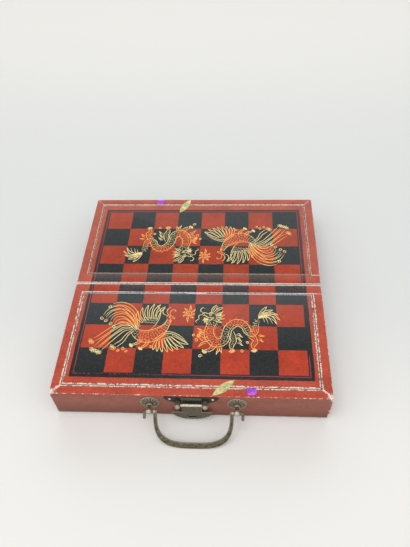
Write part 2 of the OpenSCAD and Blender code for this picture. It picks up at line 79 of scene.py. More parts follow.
def node_box(node: str) -> tuple[Vector, Vector]:
    """Gives a CAD node's corners in millimetres.

    Args:
        node: The node's name.

    Returns:
        The lowest and the highest corner.
    """
    low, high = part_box(node)
    return low / MM, high / MM


FOLD_Y = (node_box("near_back_wall")[1].y + node_box("far_back_wall")[0].y) / 2
TOP_Z = node_box("near_panel")[1].z
DECK_Z = node_box("near_panel")[0].z
RIM_Z = node_box("near_front_wall")[0].z
HALF_W = node_box("near_front_wall")[1].x
BACK_V = node_box("far_back_wall")[0].y - FOLD_Y
FRONT_V = node_box("far_front_wall")[1].y - FOLD_Y
WALL_T = node_box("far_front_wall")[1].y - node_box("far_front_wall")[0].y
SIDE_RAIL_W = HALF_W - node_box("far_left_rail")[1].x * -1
FOLD_RAIL_V = node_box("far_back_rail")[1].y - FOLD_Y


class Side(Enum):
    """The two trays, by the way that their own y points in the model's frame."""

    NEAR = -1
    FAR = 1

    @property
    def body(self) -> str:
        """The CAD body that the tray is."""
        return "near_tray" if self is Side.NEAR else "far_tray"

    @property
    def word(self) -> str:
        """The word that the tray's nodes start with."""
        return self.name.lower()

    def place(self, x: float, v: float, z: float) -> Point:
        """Turns a point of the tray's own frame into the model's frame."""
        return (x, FOLD_Y + self.value * v, z)


def srgb(red: int, green: int, blue: int) -> Colour:
    """Turns a display colour into the linear one that a shader takes.

    Args:
        red: Red, 0 to 255.
        green: Green, 0 to 255.
        blue: Blue, 0 to 255.

    Returns:
        The linear colour.
    """

    def linear(value: float) -> float:
        """Undoes the display's curve."""
        value /= 255
        return value / 12.92 if value <= 0.04045 else ((value + 0.055) / 1.055) ** 2.4

    return (linear(red), linear(green), linear(blue))


# Shader wiring


def operator(name: str, flipped: bool = False) -> Callable[["Value", object], "Value"]:
    """Makes an operator of Value from an operation of the Math node.

    Args:
        name: Blender's name of the operation.
        flipped: Whether the other operand comes first.

    Returns:
        The operator.
    """

    def method(self: "Value", other: object) -> "Value":
        """Adds the Math node."""
        return self.wiring.maths(name, *((other, self) if flipped else (self, other)))

    return method


@dataclass(frozen=True, eq=False)
class Value:
    """A number, vector or colour in a shader. Its operators add Math nodes."""

    wiring: "Wiring"
    socket: bpy.types.NodeSocket

    __add__ = operator("ADD")
    __radd__ = operator("ADD", flipped=True)
    __sub__ = operator("SUBTRACT")
    __rsub__ = operator("SUBTRACT", flipped=True)
    __mul__ = operator("MULTIPLY")
    __truediv__ = operator("DIVIDE")
    __pow__ = operator("POWER")
    __mod__ = operator("FLOORED_MODULO")
    __lt__ = operator("LESS_THAN")
    __gt__ = operator("GREATER_THAN")

    def __abs__(self) -> "Value":
        """Drops the sign."""
        return self.wiring.maths("ABSOLUTE", self)


Values = dict[str, Value]


@dataclass
class Wiring:
    """Adds nodes to one shader tree and joins them."""

    tree: bpy.types.NodeTree

    def add(self, kind: str, **settings: object) -> bpy.types.Node:
        """Adds a node and sets its properties.

        Args:
            kind: Blender's name of the node.
            settings: Its properties by name.

        Returns:
            The node.
        """
        node = self.tree.nodes.new(kind)
        for name, value in settings.items():
            setattr(node, name, value)
        return node

    def out(self, kind: str, output: str, **settings: object) -> Value:
        """Adds a node and gives one of its outputs."""
        return Value(self, self.add(kind, **settings).outputs[output])

    def feed(self, socket: bpy.types.NodeSocket, value: object) -> None:
        """Joins an input to a value, or writes a constant on it.

        Args:
            socket: The input.
            value: A Value, or else a number, a vector or a colour.
        """
        if isinstance(value, Value):
            self.tree.links.new(value.socket, socket)
        elif isinstance(value, tuple) and socket.type == "RGBA":
            socket.default_value = (*value, 1.0)
        else:
            socket.default_value = value

    def fill(self, node: bpy.types.Node, **values: object) -> bpy.types.Node:
        """Feeds a node's inputs.

        Args:
            node: The node.
            values: Its inputs by name, with an underscore for each space.

        Returns:
            The node.
        """
        for name, value in values.items():
            self.feed(node.inputs[name.replace("_", " ")], value)
        return node

    def maths(self, operation: str, *values: object, clamp: bool = False) -> Value:
        """Adds a Math node.

        Args:
            operation: Blender's name of the operation.
            values: Its inputs, each a Value or a number.
            clamp: Whether the result stays between 0 and 1.

        Returns:
            The result.
        """
        node = self.add("ShaderNodeMath", operation=operation, use_clamp=clamp)
        for socket, value in zip(node.inputs, values):
            self.feed(socket, value)
        return Value(self, node.outputs[0])

    def most(self, first: object, second: object) -> Value:
        """Gives the larger of two values."""
        return self.maths("MAXIMUM", first, second)

    def least(self, first: object, second: object) -> Value:
        """Gives the smaller of two values."""
        return self.maths("MINIMUM", first, second)

    def fade(self, value: object, low: object, high: object, start: object = 0.0, end: object = 1.0) -> Value:
        """Steps smoothly from start to end as value goes from low to high.

        Args:
            value: What the step follows.
            low: Where it starts.
            high: Where it ends.
            start: The result at low.
            end: The result at high.

        Returns:
            The result.
        """
        node = self.add("ShaderNodeMapRange", interpolation_type="SMOOTHSTEP")
        for socket, item in zip(node.inputs, (value, low, high, start, end)):
            self.feed(socket, item)
        return Value(self, node.outputs[0])

    def choose(self, mask: object, first: object, second: object) -> Value:
        """Gives the first value where a mask is 0 and the second where it is 1."""
        return self.fade(mask, 0.0, 1.0, first, second)

    def mix(self, share: object, first: object, second: object) -> Value:
        """Mixes two colours.

        Args:
            share: The second colour's share.
            first: The first colour.
            second: The second colour.

        Returns:
            The mixed colour.
        """
        node = self.add("ShaderNodeMix", data_type="RGBA")
        for place, value in ((0, share), (6, first), (7, second)):
            self.feed(node.inputs[place], value)
        return Value(self, node.outputs[2])

    def noise(self, vector: object, scale: object, detail: float = 2.0, roughness: float = 0.5) -> Value:
        """Adds a noise texture.

        Args:
            vector: The pattern's coordinates.
            scale: Its number of cells in a millimetre.
            detail: Its number of finer layers.
            roughness: The weight of each finer layer.

        Returns:
            The noise, between 0 and 1.
        """
        node = self.add("ShaderNodeTexNoise")
        self.fill(node, Vector=vector, Scale=scale, Detail=detail, Roughness=roughness)
        return Value(self, node.outputs["Fac"])

    def stretch(self, vector: object, scale: Point, shift: Point = (0, 0, 0)) -> Value:
        """Stretches and shifts a pattern's coordinates.

        Args:
            vector: The coordinates.
            scale: What each is multiplied by.
            shift: What each is then moved by.

        Returns:
            The new coordinates.
        """
        return Value(self, self.fill(self.add("ShaderNodeMapping"), Vector=vector, Scale=scale,
                                     Location=shift).outputs[0])

    def moved(self, vector: object, *shift: float) -> Value:
        """Shifts a pattern's coordinates, so that two noises differ."""
        return self.stretch(vector, (1, 1, 1), shift)

    def place(self, shift: Point = (0, 0, 0)) -> Value:
        """Gives a point's place in the model's frame in millimetres."""
        return self.stretch(self.out("ShaderNodeTexCoord", "Object"), (1 / MM,) * 3, shift)

    def split(self, vector: Value) -> list[Value]:
        """Gives a vector's three parts."""
        node = self.fill(self.add("ShaderNodeSeparateXYZ"), Vector=vector)
        return [Value(self, socket) for socket in node.outputs]

    def group(self, tree: bpy.types.NodeTree, **values: object) -> Values:
        """Places a shared group.

        Args:
            tree: The group.
            values: Its inputs by name, with an underscore for each space.

        Returns:
            Its outputs by name.
        """
        node = self.fill(self.add("ShaderNodeGroup", node_tree=tree), **values)
        return {socket.name: Value(self, socket) for socket in node.outputs}

    def bump(self, shader: bpy.types.Node, height: Value, distance: float, strength: float) -> None:
        """Gives a shader a bump.

        Args:
            shader: The shader.
            height: The pattern.
            distance: Its height in millimetres.
            strength: The share of it that shows.
        """
        node = self.fill(self.add("ShaderNodeBump"), Strength=strength, Distance=distance * MM, Height=height)
        self.feed(shader.inputs["Normal"], Value(self, node.outputs[0]))


def shared_group(name: str, inputs: dict[str, tuple[str, object]], outputs: dict[str, str],
                 build: Callable[[Wiring, Values], Values]) -> bpy.types.NodeTree:
    """Builds a shader node group once, with named inputs and outputs.

    Args:
        name: The group's name.
        inputs: For each input, its socket kind and default value.
        outputs: For each output, its socket kind.
        build: Wires the inside, from the inputs to a value for each output.

    Returns:
        The group's tree.
    """
    found = bpy.data.node_groups.get(name)
    if found:
        return found
    tree = bpy.data.node_groups.new(name, "ShaderNodeTree")
    for label, (kind, value) in inputs.items():
        socket = tree.interface.new_socket(label, in_out="INPUT", socket_type=f"NodeSocket{kind}")
        if value is not None:
            socket.default_value = (*value, 1.0) if kind == "Color" else value
    for label, kind in outputs.items():
        tree.interface.new_socket(label, in_out="OUTPUT", socket_type=f"NodeSocket{kind}")
    wiring = Wiring(tree)
    entry = wiring.add("NodeGroupInput")
    results = build(wiring, {socket.name: Value(wiring, socket) for socket in entry.outputs})
    leave = wiring.add("NodeGroupOutput")
    for label, value in results.items():
        wiring.feed(leave.inputs[label], value)
    return tree


def place_in_tray() -> bpy.types.NodeTree:
    """Gives the group that says where a point lies in its tray, in millimetres.

    Returns:
        The group's tree.
    """

    def build(w: Wiring, _: Values) -> Values:
        """Wires the distances from the middle, the faces and the edges."""
        spot = w.place((0, -FOLD_Y, 0))
        across, along, height = w.split(spot)
        reach, depth = abs(across), abs(along)
        below = TOP_Z - height
        to_side = HALF_W - reach
        to_end = w.least(FRONT_V - depth, depth - BACK_V)
        to_face = w.most(w.least(to_side, to_end), 0.0)

        def from_edge(first: Value, second: Value) -> Value:
            """Gives the distance from an edge, by those from its two faces."""
            return w.maths("SQRT", w.most(first, 0.0) ** 2.0 + second ** 2.0)

        return {"Spot": spot, "Across": across, "Along": along, "Reach": reach, "Depth": depth,
                "Below": below, "Top Edge": from_edge(below, to_face),
                "Rim Edge": from_edge(height - RIM_Z, to_face),
                "Corner": from_edge(to_side, w.most(to_end, 0.0))}

    floats = ("Across", "Along", "Reach", "Depth", "Below", "Top Edge", "Rim Edge", "Corner")
    return shared_group("place in tray", {}, {"Spot": "Vector", **{name: "Float" for name in floats}}, build)


def worn_edge() -> bpy.types.NodeTree:
    """Gives the group that marks paint rubbed off within a ragged distance of an edge.

    Returns:
        The group's tree.
    """

    def build(w: Wiring, i: Values) -> Values:
        """Wires coarse patches with fine specks at their border."""
        coarse = w.noise(i["Spot"], i["Scale"], 3.0, 0.6)
        fine = w.noise(w.moved(i["Spot"], 37, 11, 5), i["Scale"] * 4.0, 2.0, 0.6)
        share = w.fade(coarse, 0.62 - i["Amount"], 0.84 - i["Amount"], -0.3, 1.1)
        speckled = share + (fine - 0.5) * 3.2
        return {"Mask": w.fade(speckled * i["Reach"] - i["Distance"], -0.04, 0.1)}

    return shared_group("worn edge", {"Spot": ("Vector", None), "Distance": ("Float", 1.0),
                                      "Reach": ("Float", 1.0), "Scale": ("Float", 0.4),
                                      "Amount": ("Float", 0.3)}, {"Mask": "Float"}, build)


def brushed_lacquer() -> bpy.types.NodeTree:
    """Gives the group with the cloudy colour and the fine tooth of hand-laid lacquer.

    Returns:
        The group's tree.
    """

    def build(w: Wiring, i: Values) -> Values:
        """Wires the cloud, the blotches and the brush's tooth."""
        cloud = w.noise(i["Spot"], 0.045, 3.0, 0.6)
        blotch = w.noise(i["Spot"], 0.35, 3.0, 0.6)
        tooth = w.noise(w.stretch(i["Spot"], (0.75, 1.5, 1.0)), 1.3, 2.0, 0.6)
        shade = (cloud - 0.5) * 0.9 + (blotch - 0.5) * 0.8
        scaled = w.add("ShaderNodeVectorMath", operation="SCALE")
        w.feed(scaled.inputs[0], i["Colour"])
        w.feed(scaled.inputs["Scale"], 1.0 + shade * i["Contrast"])
        return {"Colour": Value(w, scaled.outputs[0]), "Tooth": tooth, "Blotch": blotch}

    return shared_group("brushed lacquer", {"Spot": ("Vector", None), "Colour": ("Color", (1, 1, 1)),
                                            "Contrast": ("Float", 0.5)},
                        {"Colour": "Color", "Tooth": "Float", "Blotch": "Float"}, build)


def new_material(name: str) -> tuple[bpy.types.Material, Wiring, bpy.types.Node]:
    """Makes an empty node material.

    Args:
        name: The material's name.

    Returns:
        The material, its wiring and its Principled shader.
    """
    material = bpy.data.materials.new(name)
    material.use_nodes = True
    return material, Wiring(material.node_tree), material.node_tree.nodes["Principled BSDF"]


@dataclass(frozen=True)
class Chequer:
    """The painted pattern of the board: eight by eight squares and the border lines."""

    square_x: float = 29.58
    square_y: float = 29.52
    black_in: float = 1.2
    red_line: float = 2.2
    black_near: float = 5.8
    black_far: float = 5.2
    wobble: float = 1.0

    def group(self) -> bpy.types.NodeTree:
        """Gives the group that says where the paint is red and where the thin border line runs.

        Returns:
            The group's tree.
        """

        def build(w: Wiring, i: Values) -> Values:
            """Wires the squares and the lines round them."""
            spot = i["Spot"]
            drift, sway = ((w.noise(place, 0.09, 3.0) - 0.5) * self.wobble
                           for place in (spot, w.moved(spot, 91, 17, 0)))
            across, along = i["Across"] + drift, i["Along"] + sway
            # Odd squares are red, counted from the near left corner, which is black
            column, row = w.maths("FLOOR", across / self.square_x), w.maths("FLOOR", along / self.square_y)
            outside = w.most(abs(across) - 4 * self.square_x, abs(along) - 4 * self.square_y)
            beyond = outside > w.fade(i["Along"], -110.0, -20.0, self.black_near, self.black_far)
            line = (outside > self.black_in) * (outside < self.red_line)
            # The thin line is painted over beside three rows on the right, and dotted along the near left
            rows = w.fade(i["Along"], -98.0, -92.0) * w.fade(i["Along"], -4.0, -8.0)
            dots = w.fade(i["Across"], 20.0, -60.0) * w.fade(i["Along"], -110.0, -118.0)
            gaps = w.fade(w.noise(w.moved(spot, 5, 40, 0), 0.3, 2.0), 0.4, 0.5)
            kept = 1.0 - w.most(w.fade(i["Across"], 100.0, 112.0) * rows, dots * gaps)
            red = w.maths("ADD", (outside < 0.0) * ((column + row) % 2.0), beyond, clamp=True)
            return {"Red": red, "Line": line * kept, "Outside": outside}

        return shared_group("chequer", {"Spot": ("Vector", None), "Across": ("Float", 0.0),
                                        "Along": ("Float", 0.0)},
                            {"Red": "Float", "Line": "Float", "Outside": "Float"}, build)


@dataclass(frozen=True)
class CaseLacquer:
    """Red and black lacquer of the trays, worn to the white primer at lips, joints and edges."""

    chequer: Chequer = Chequer()
    red: Colour = srgb(170, 51, 22)
    rail_red: Colour = srgb(180, 56, 30)
    wall_red: Colour = srgb(140, 82, 68)
    wall_low: Colour = srgb(112, 62, 50)
    black: Colour = srgb(20, 27, 31)
    deep_black: Colour = srgb(4, 5, 5)
    thin_black: Colour = srgb(84, 58, 54)
    lint: Colour = srgb(118, 128, 130)
    thin_line: Colour = srgb(146, 56, 66)
    brown: Colour = srgb(84, 44, 36)
    dull_red: Colour = srgb(110, 60, 40)
    dull_rail: Colour = srgb(133, 106, 91)
    primer: Colour = srgb(244, 239, 230)
    stain: Colour = srgb(196, 176, 156)
    chalk: Colour = srgb(238, 243, 246)
    lilac: Colour = srgb(232, 226, 219)
    grime: Colour = srgb(30, 30, 30)
    groove_w: float = 1.2
    lip: float = 1.1
    far_lip: float = 0.5
    off_joint: float = 50.0
    relief: float = 0.12

    def paint(self, w: Wiring, at: Values) -> tuple[Value, Values]:
        """Wires the paint before it wore, with its painted haze, shade and highlights.

        Args:
            w: The material's wiring.
            at: Where a point lies in its tray.

        Returns:
            The paint's colour, and the outputs of the red lacquer's group.
        """
        spot, along = at["Spot"], at["Along"]
        pattern = w.group(self.chequer.group(), Spot=spot, Across=at["Across"], Along=along)
        frame_part = w.fade(pattern["Outside"], 3.0, 5.0)
        # A grey haze is painted into the red towards the far tray, and more on the rails: a painted
        # reflection of the bright room in the lacquer
        fade = w.fade(along, -130.0, 60.0, w.choose(frame_part, 0.0, 0.14), w.choose(frame_part, 0.25, 0.3))
        red_with_painted_haze = w.mix(fade, w.mix(frame_part, self.red, self.rail_red),
                      w.mix(frame_part, self.dull_red, self.dull_rail))
        lacquer = brushed_lacquer()
        red = w.group(lacquer, Spot=spot, Colour=red_with_painted_haze, Contrast=1.0)
        black = w.group(lacquer, Spot=w.moved(spot, 60, 0, 9), Colour=self.black, Contrast=1.2)
        dull = w.group(lacquer, Spot=w.stretch(spot, (0.4, 0.4, 1), (7, 3, 0)), Colour=self.wall_red,
                       Contrast=0.8)
        # The black is painted darker towards the near front: painted shade where less of the bright room is
        # reflected in it
        black_with_painted_shade = w.mix(w.fade(along, -40.0, -120.0, 0.0, 0.75), black["Colour"], self.deep_black)
        # Painted highlights in bluish grey on the brush's tooth of the black
        dark = w.mix(w.fade(black["Tooth"], 0.54, 0.7) * 0.22, black_with_painted_shade, self.lint)
        # The black on the fold rails is thin and brown
        fold = w.fade(at["Depth"], FOLD_RAIL_V + 0.3, FOLD_RAIL_V - 0.3, 0.0, 0.55)
        dark = w.mix(fold * w.fade(red["Blotch"], 0.3, 0.6), dark, self.thin_black)
        # The walls are darker towards the bottom
        wall = w.mix(w.fade(at["Below"], 14.0, 38.0, 0.0, 0.8), dull["Colour"], self.wall_low)
        # The outer border line is browner on the far tray
        rim = w.fade(pattern["Outside"], 2.4, 3.2) * w.fade(along, -20.0, 60.0, 0.0, 0.7)
        top = w.mix(pattern["Red"], w.mix(rim, dark, self.brown), red["Colour"])
        top = w.mix(pattern["Line"] * 0.85, top, self.thin_line)
        return w.mix(w.fade(at["Below"], 1.1, 0.5), wall, top), red

    def wear(self, w: Wiring, at: Values) -> Values:
        """Wires where the paint is gone.

        Args:
            w: The material's wiring.
            at: Where a point lies in its tray.

        Returns:
            The shares of bare lips, joints and edges, of the open groove, of the near fold's chalky lines
            and of the fold's pale joint lines, and where the near tray, its front and the fold are.
        """

        def worn(distance: Value, reach: object, scale: float, amount: object) -> Value:
            """Gives the bare share within a ragged reach of an edge."""
            return w.group(edge_group, Spot=at["Spot"], Distance=distance, Reach=reach, Scale=scale,
                           Amount=amount)["Mask"]

        edge_group = worn_edge()
        near = at["Along"] < 0.0
        fold_side = FOLD_RAIL_V - at["Depth"]
        side_side = at["Reach"] - (HALF_W - SIDE_RAIL_W)
        front_side = at["Depth"] - (FRONT_V - SIDE_RAIL_W)
        around = w.most(side_side, front_side)
        at_fold = fold_side > around
        # The open groove between the rails and the panel, and the lips on both sides of it
        middle = abs(w.most(fold_side, around) + self.groove_w / 2)
        from_lip = w.most(middle - self.groove_w / 2, 0.0)
        in_groove = middle < self.groove_w / 2 - 0.05
        lip = worn(from_lip, w.choose(near, self.far_lip, self.lip), 0.3, 0.3) * (1.0 - in_groove)
        line = at_fold * w.fade(from_lip, w.choose(near, 0.4, 1.15), 0.12)
        shallow = w.fade(at["Below"], 2.0, 1.0)
        # Mitres at the front corners and butt joints at the fold
        off = abs((at["Reach"] - HALF_W) - (at["Depth"] - FRONT_V))
        mitre = off + (w.least(side_side, front_side) < 0.0) * self.off_joint
        crack = worn(mitre, w.choose(near, 0.45, 1.8), 0.6, 0.3)
        butt = abs(fold_side) + (at["Across"] < HALF_W - SIDE_RAIL_W) * self.off_joint
        # The outer edges: thin at the front and sides, paler and chalkier along the fold
        edge = w.choose(near, 1.0, 1.9)
        along_fold = w.fade(at["Depth"] - BACK_V, edge, edge - 0.6) * w.fade(at["Below"], 1.2, 0.6)
        tip = at["Corner"] + at["Below"] * 1.5 + (at["Depth"] < FRONT_V / 2) * 3.0
        bare = w.most(lip, crack) * shallow * (1.0 - at_fold)
        for mask in (worn(at["Top Edge"], 0.5, 0.3, 0.22), worn(at["Rim Edge"], 0.7, 0.2, 0.22),
                     worn(at["Corner"], w.fade(at["Across"], -100.0, 100.0, 1.1, 1.7), 0.3,
                          w.fade(at["Below"], 12.0, 36.0, 0.16, 0.34)),
                     worn(tip, w.choose(near, 1.2, 4.6), 0.5, 0.42)):
            bare = w.most(bare, mask)
        return {"bare": bare, "groove": in_groove, "front": front_side > side_side, "chalk": line * shallow,
                "near": near, "at_fold": at_fold, "joint": w.most(w.fade(butt, 0.55, 0.2) * shallow,
                                                                  along_fold)}

    def material(self, name: str) -> bpy.types.Material:
        """Wires the lacquer as one material for rails, panels and walls.

        Args:
            name: The material's name.

        Returns:
            The material.
        """
        material, w, shader = new_material(name)
        at = w.group(place_in_tray())
        paint, red = self.paint(w, at)
        worn = self.wear(w, at)
        # Cream filler in the groove, thicker along the front; where the groove is open it is painted dark as
        # shade
        grit = w.noise(w.moved(at["Spot"], 3, 77, 0), 0.9, 3.0, 0.7)
        gap = w.choose(worn["front"], 0.54, 0.56)
        fill = w.fade(grit, gap, gap + 0.06) * (1.0 - worn["at_fold"])
        fill = w.most(fill, worn["at_fold"] * worn["near"] * 0.75)
        colour = w.mix(worn["groove"], paint, w.mix(fill, self.grime, self.primer))
        # Chalky lines along the fold, with gaps
        thin = w.fade(w.noise(w.moved(at["Spot"], 8, 3, 50), 0.5, 3.0, 0.65), 0.36, 0.54, 0.35, 1.0)
        colour = w.mix(worn["chalk"] * thin, colour, w.mix(worn["near"], self.stain, self.chalk))
        colour = w.mix(worn["joint"] * thin, colour, self.lilac)
        stained = w.mix(w.fade(red["Tooth"], 0.38, 0.68), self.primer, self.stain)
        colour = w.mix(worn["bare"] * (1.0 - w.fade(grit, 0.5, 0.62) * 0.55), colour, stained)
        shine = w.fade(red["Blotch"], 0.3, 0.7, 0.34, 0.46) + w.fade(at["Below"], 0.6, 1.4, 0.0, 0.3)
        w.fill(shader, Base_Color=colour, Specular_IOR_Level=0.46,
               Roughness=w.maths("ADD", shine, worn["bare"] * 0.35, clamp=True))
        w.bump(shader, red["Tooth"] * 0.6 + worn["bare"] * -0.8, self.relief, 0.55)
        return material


@dataclass(frozen=True)
class AgedMetal:
    """A cast or sheet metal with a dark skin that is worn bright on its edges, with painted highlights on its
    edges and knobs and painted shade in the clasp's slot.
    """

    skin: Colour = srgb(114, 104, 78)
    shadow: Colour = srgb(48, 44, 32)
    # The colour of worn metal and of painted highlights
    bright: Colour = srgb(218, 205, 187)
    verdigris: Colour = srgb(98, 112, 92)
    hollow: Colour = srgb(10, 9, 8)
    grain: float = 0.9
    rubbed: float = 0.85
    relief: float = 0.12

    def material(self, name: str) -> bpy.types.Material:
        """Wires the metal, worn bright and given painted highlights, or darkened with painted shade, by the
        attribute that its pieces carry.

        Args:
            name: The material's name.

        Returns:
            The material.
        """
        material, w, shader = new_material(name)
        spot = w.place()
        cloud = w.noise(spot, 0.16 * self.grain, 3.0, 0.65)
        speck = w.noise(w.moved(spot, 13, 5, 40), 0.8 * self.grain, 3.0, 0.6)
        pits = w.noise(w.moved(spot, 3, 71, 8), 2.4 * self.grain, 2.0, 0.6)
        skin = w.mix(w.fade(speck, 0.36, 0.66), self.shadow, self.skin)
        skin = w.mix(w.fade(cloud, 0.52, 0.72) * 0.55, skin, self.verdigris)
        rub = w.out("ShaderNodeAttribute", "Fac", attribute_name="rub")
        # Painted shade, nearly black, where the attribute is negative
        skin = w.mix(w.fade(rub, 0.0, -1.0), skin, self.hollow)
        # Wear and painted highlights where the attribute is positive
        worn = w.most(rub, 0.0) * self.rubbed + w.fade(speck, 0.62, 0.74) * 0.35
        worn = w.maths("MULTIPLY", worn, w.fade(pits, 0.28, 0.55, 0.35, 1.0), clamp=True)
        w.fill(shader, Base_Color=w.mix(worn, skin, self.bright), Metallic=w.fade(worn, 0.0, 0.8, 0.55, 0.9),
               Roughness=w.fade(speck, 0.3, 0.7, 0.5, 0.62) - worn * 0.2)
        w.bump(shader, speck + pits * 0.5, self.relief, 0.5)
        return material


@dataclass(frozen=True)
class OldSilk:
    """Gold satin with a small woven lattice, a little faded."""

    ground: Colour = srgb(166, 124, 56)
    figure: Colour = srgb(222, 194, 120)
    faded: Colour = srgb(196, 172, 120)
    lattice: float = 10.0
    relief: float = 0.12

    def material(self, name: str) -> bpy.types.Material:
        """Wires the silk: a lattice with a dot in each mesh, over a fine satin thread.

        Args:
            name: The material's name.

        Returns:
            The material.
        """
        material, w, shader = new_material(name)
        spot = w.place()
        x, y, z = w.split(spot)
        y = y + z
        cells = [abs(w.maths("FRACT", line / self.lattice) - 0.5) for line in (x + y, x - y)]
        dot = w.fade(cells[0] ** 2.0 + cells[1] ** 2.0, 0.03, 0.02)
        figure = w.most(w.fade(w.most(*cells), 0.43, 0.46), dot)
        woven = w.mix(figure, self.ground, self.figure)
        colour = w.mix(w.fade(w.noise(spot, 0.03, 3.0), 0.45, 0.75, 0.0, 0.4), woven, self.faded)
        w.fill(shader, Base_Color=colour, Roughness=0.62 - figure * 0.2, Sheen_Weight=0.35,
               Sheen_Roughness=0.4)
        threads = w.maths("SINE", y * 12.0) + w.maths("SINE", x * 14.0)
        w.bump(shader, figure * 0.6 + threads * 0.12, self.relief, 0.5)
        return material


@dataclass(frozen=True)
class GoldPaint:
    """Gold powder brushed on lacquer: pale over black, orange where red shines through."""

    over_black: Colour = srgb(250, 226, 158)
    over_red: Colour = srgb(255, 184, 100)
    worn: Colour = srgb(196, 146, 80)
    relief: float = 0.06

    def material(self, name: str, chequer: bpy.types.NodeTree) -> bpy.types.Material:
        """Wires the paint.

        Args:
            name: The material's name.
            chequer: The shared pattern of the squares.

        Returns:
            The material.
        """
        material, w, shader = new_material(name)
        at = w.group(place_in_tray())
        red = w.group(chequer, Spot=at["Spot"], Across=at["Across"], Along=at["Along"])["Red"]
        thin = w.noise(at["Spot"], 0.5, 3.0, 0.6)
        colour = w.mix(w.fade(thin, 0.56, 0.76), w.mix(red, self.over_black, self.over_red), self.worn)
        w.fill(shader, Base_Color=colour, Metallic=0.1, Roughness=w.fade(thin, 0.3, 0.7, 0.42, 0.6))
        w.bump(shader, w.noise(at["Spot"], 2.2), self.relief, 0.4)
        return material


@dataclass(frozen=True)
class StickerFoil:
    """Crumpled foil paper that shifts between straw, green and rose."""

    straw: Colour = srgb(226, 216, 160)
    green: Colour = srgb(150, 178, 112)
    rose: Colour = srgb(232, 186, 150)
    gold: Colour = srgb(206, 186, 96)
    relief: float = 0.35

    def material(self, name: str) -> bpy.types.Material:
        """Wires the foil, golden along its rim by the attribute that the leaf carries.

        Args:
            name: The material's name.

        Returns:
            The material.
        """
        material, w, shader = new_material(name)
        spot = w.place()
        crumple = w.noise(spot, 0.55, 3.0, 0.6)
        colour = w.mix(w.fade(w.noise(spot, 0.16, 2.0), 0.42, 0.6), self.green, self.straw)
        colour = w.mix(w.fade(w.noise(w.moved(spot, 31, 8, 2), 0.22, 3.0), 0.5, 0.66), colour, self.rose)
        rim = w.fade(w.out("ShaderNodeAttribute", "Fac", attribute_name="rim"), 0.55, 0.85)
        w.fill(shader, Base_Color=w.mix(rim, colour, self.gold), Metallic=0.3,
               Roughness=w.fade(crumple, 0.3, 0.7, 0.25, 0.5))
        w.bump(shader, crumple, self.relief, 0.6)
        return material


@dataclass(frozen=True)
class VioletPaper:
    """Violet tag of thick dyed paper, faded in patches."""

    dye: Colour = srgb(150, 52, 190)
    faded: Colour = srgb(190, 96, 214)
    relief: float = 0.12

    def material(self, name: str) -> bpy.types.Material:
        """Wires the paper with its fibres.

        Args:
            name: The material's name.

        Returns:
            The material.
        """
        material, w, shader = new_material(name)
        spot = w.place()
        w.fill(shader, Base_Color=w.mix(w.fade(w.noise(spot, 0.25), 0.42, 0.62), self.dye, self.faded),
               Roughness=0.62)
        w.bump(shader, w.noise(w.stretch(spot, (1.0, 3.0, 1.0)), 1.6, 3.0), self.relief, 0.5)
        return material


# Meshes


def mesh_object(name: str, points: Sequence[Point], faces: Sequence[Sequence[int]],
                material: bpy.types.Material | None = None, smooth: bool = True) -> bpy.types.Object:
    """Makes an object from points in millimetres.

    Args:
        name: The piece's name.
        points: Its points.
        faces: Its faces, as indices of points.
        material: Its material.
        smooth: Whether its faces are shaded smooth.

    Returns:
        The object, at the origin.
    """
    mesh = bpy.data.meshes.new(name)
    mesh.from_pydata([tuple(c * MM for c in point) for point in points], [], [tuple(f) for f in faces])
    mesh.update()
    return finished(bpy.data.objects.new(name, mesh), material, smooth)


def finished(piece: bpy.types.Object, material: bpy.types.Material | None, smooth: bool) -> bpy.types.Object:
    """Links a piece to the scene with its material and outward normals.

    Args:
        piece: The piece.
        material: Its material, or None to leave its materials alone.
        smooth: Whether its faces are shaded smooth.

    Returns:
        The piece.
    """
    bpy.context.scene.collection.objects.link(piece)
    if material:
        piece.data.materials.clear()
        piece.data.materials.append(material)
    bm = bmesh.new()
    bm.from_mesh(piece.data)
    bmesh.ops.recalc_face_normals(bm, faces=bm.faces)
    bm.to_mesh(piece.data)
    bm.free()
    piece.data.polygons.foreach_set("use_smooth", [smooth] * len(piece.data.polygons))
    return piece


def soften(piece: bpy.types.Object, angle: float = 35.0) -> bpy.types.Object:
    """Shades a piece smooth, but keeps its edges past an angle in degrees sharp."""
    piece.data.set_sharp_from_angle(angle=math.radians(angle))
    return piece


@dataclass(frozen=True)
class Outline:
    """A rounded rectangle in a tray's own frame, walked once round."""

    half_x: float
    near_v: float
    far_v: float
    corner: float
    long_steps: int = 94
    short_steps: int = 48
    corner_steps: int = 5

    def walk(self) -> list[tuple[float, float, float, float]]:
        """Walks the outline once round.

        Returns:
            Each point's x and v, and the two parts of its outward direction.
        """
        points = []
        x, lo, hi, r = self.half_x, self.near_v, self.far_v, self.corner
        ends = [((-x + r, lo), (x - r, lo), -90), ((x, lo + r), (x, hi - r), 0),
                ((x - r, hi), (-x + r, hi), 90), ((-x, hi - r), (-x, lo + r), 180)]
        for side, (start, stop, turn) in enumerate(ends):
            steps = self.long_steps if side % 2 == 0 else self.short_steps
            out = (math.cos(math.radians(turn)), math.sin(math.radians(turn)))
            for k in range(steps):
                t = k / (steps - 1)
                points.append((start[0] + (stop[0] - start[0]) * t, start[1] + (stop[1] - start[1]) * t,
                               *out))
            centre = (stop[0] - out[0] * r, stop[1] - out[1] * r)
            for k in range(1, self.corner_steps):
                angle = math.radians(turn + 90 * k / self.corner_steps)
                way = (math.cos(angle), math.sin(angle))
                points.append((centre[0] + way[0] * r, centre[1] + way[1] * r, *way))
        return points


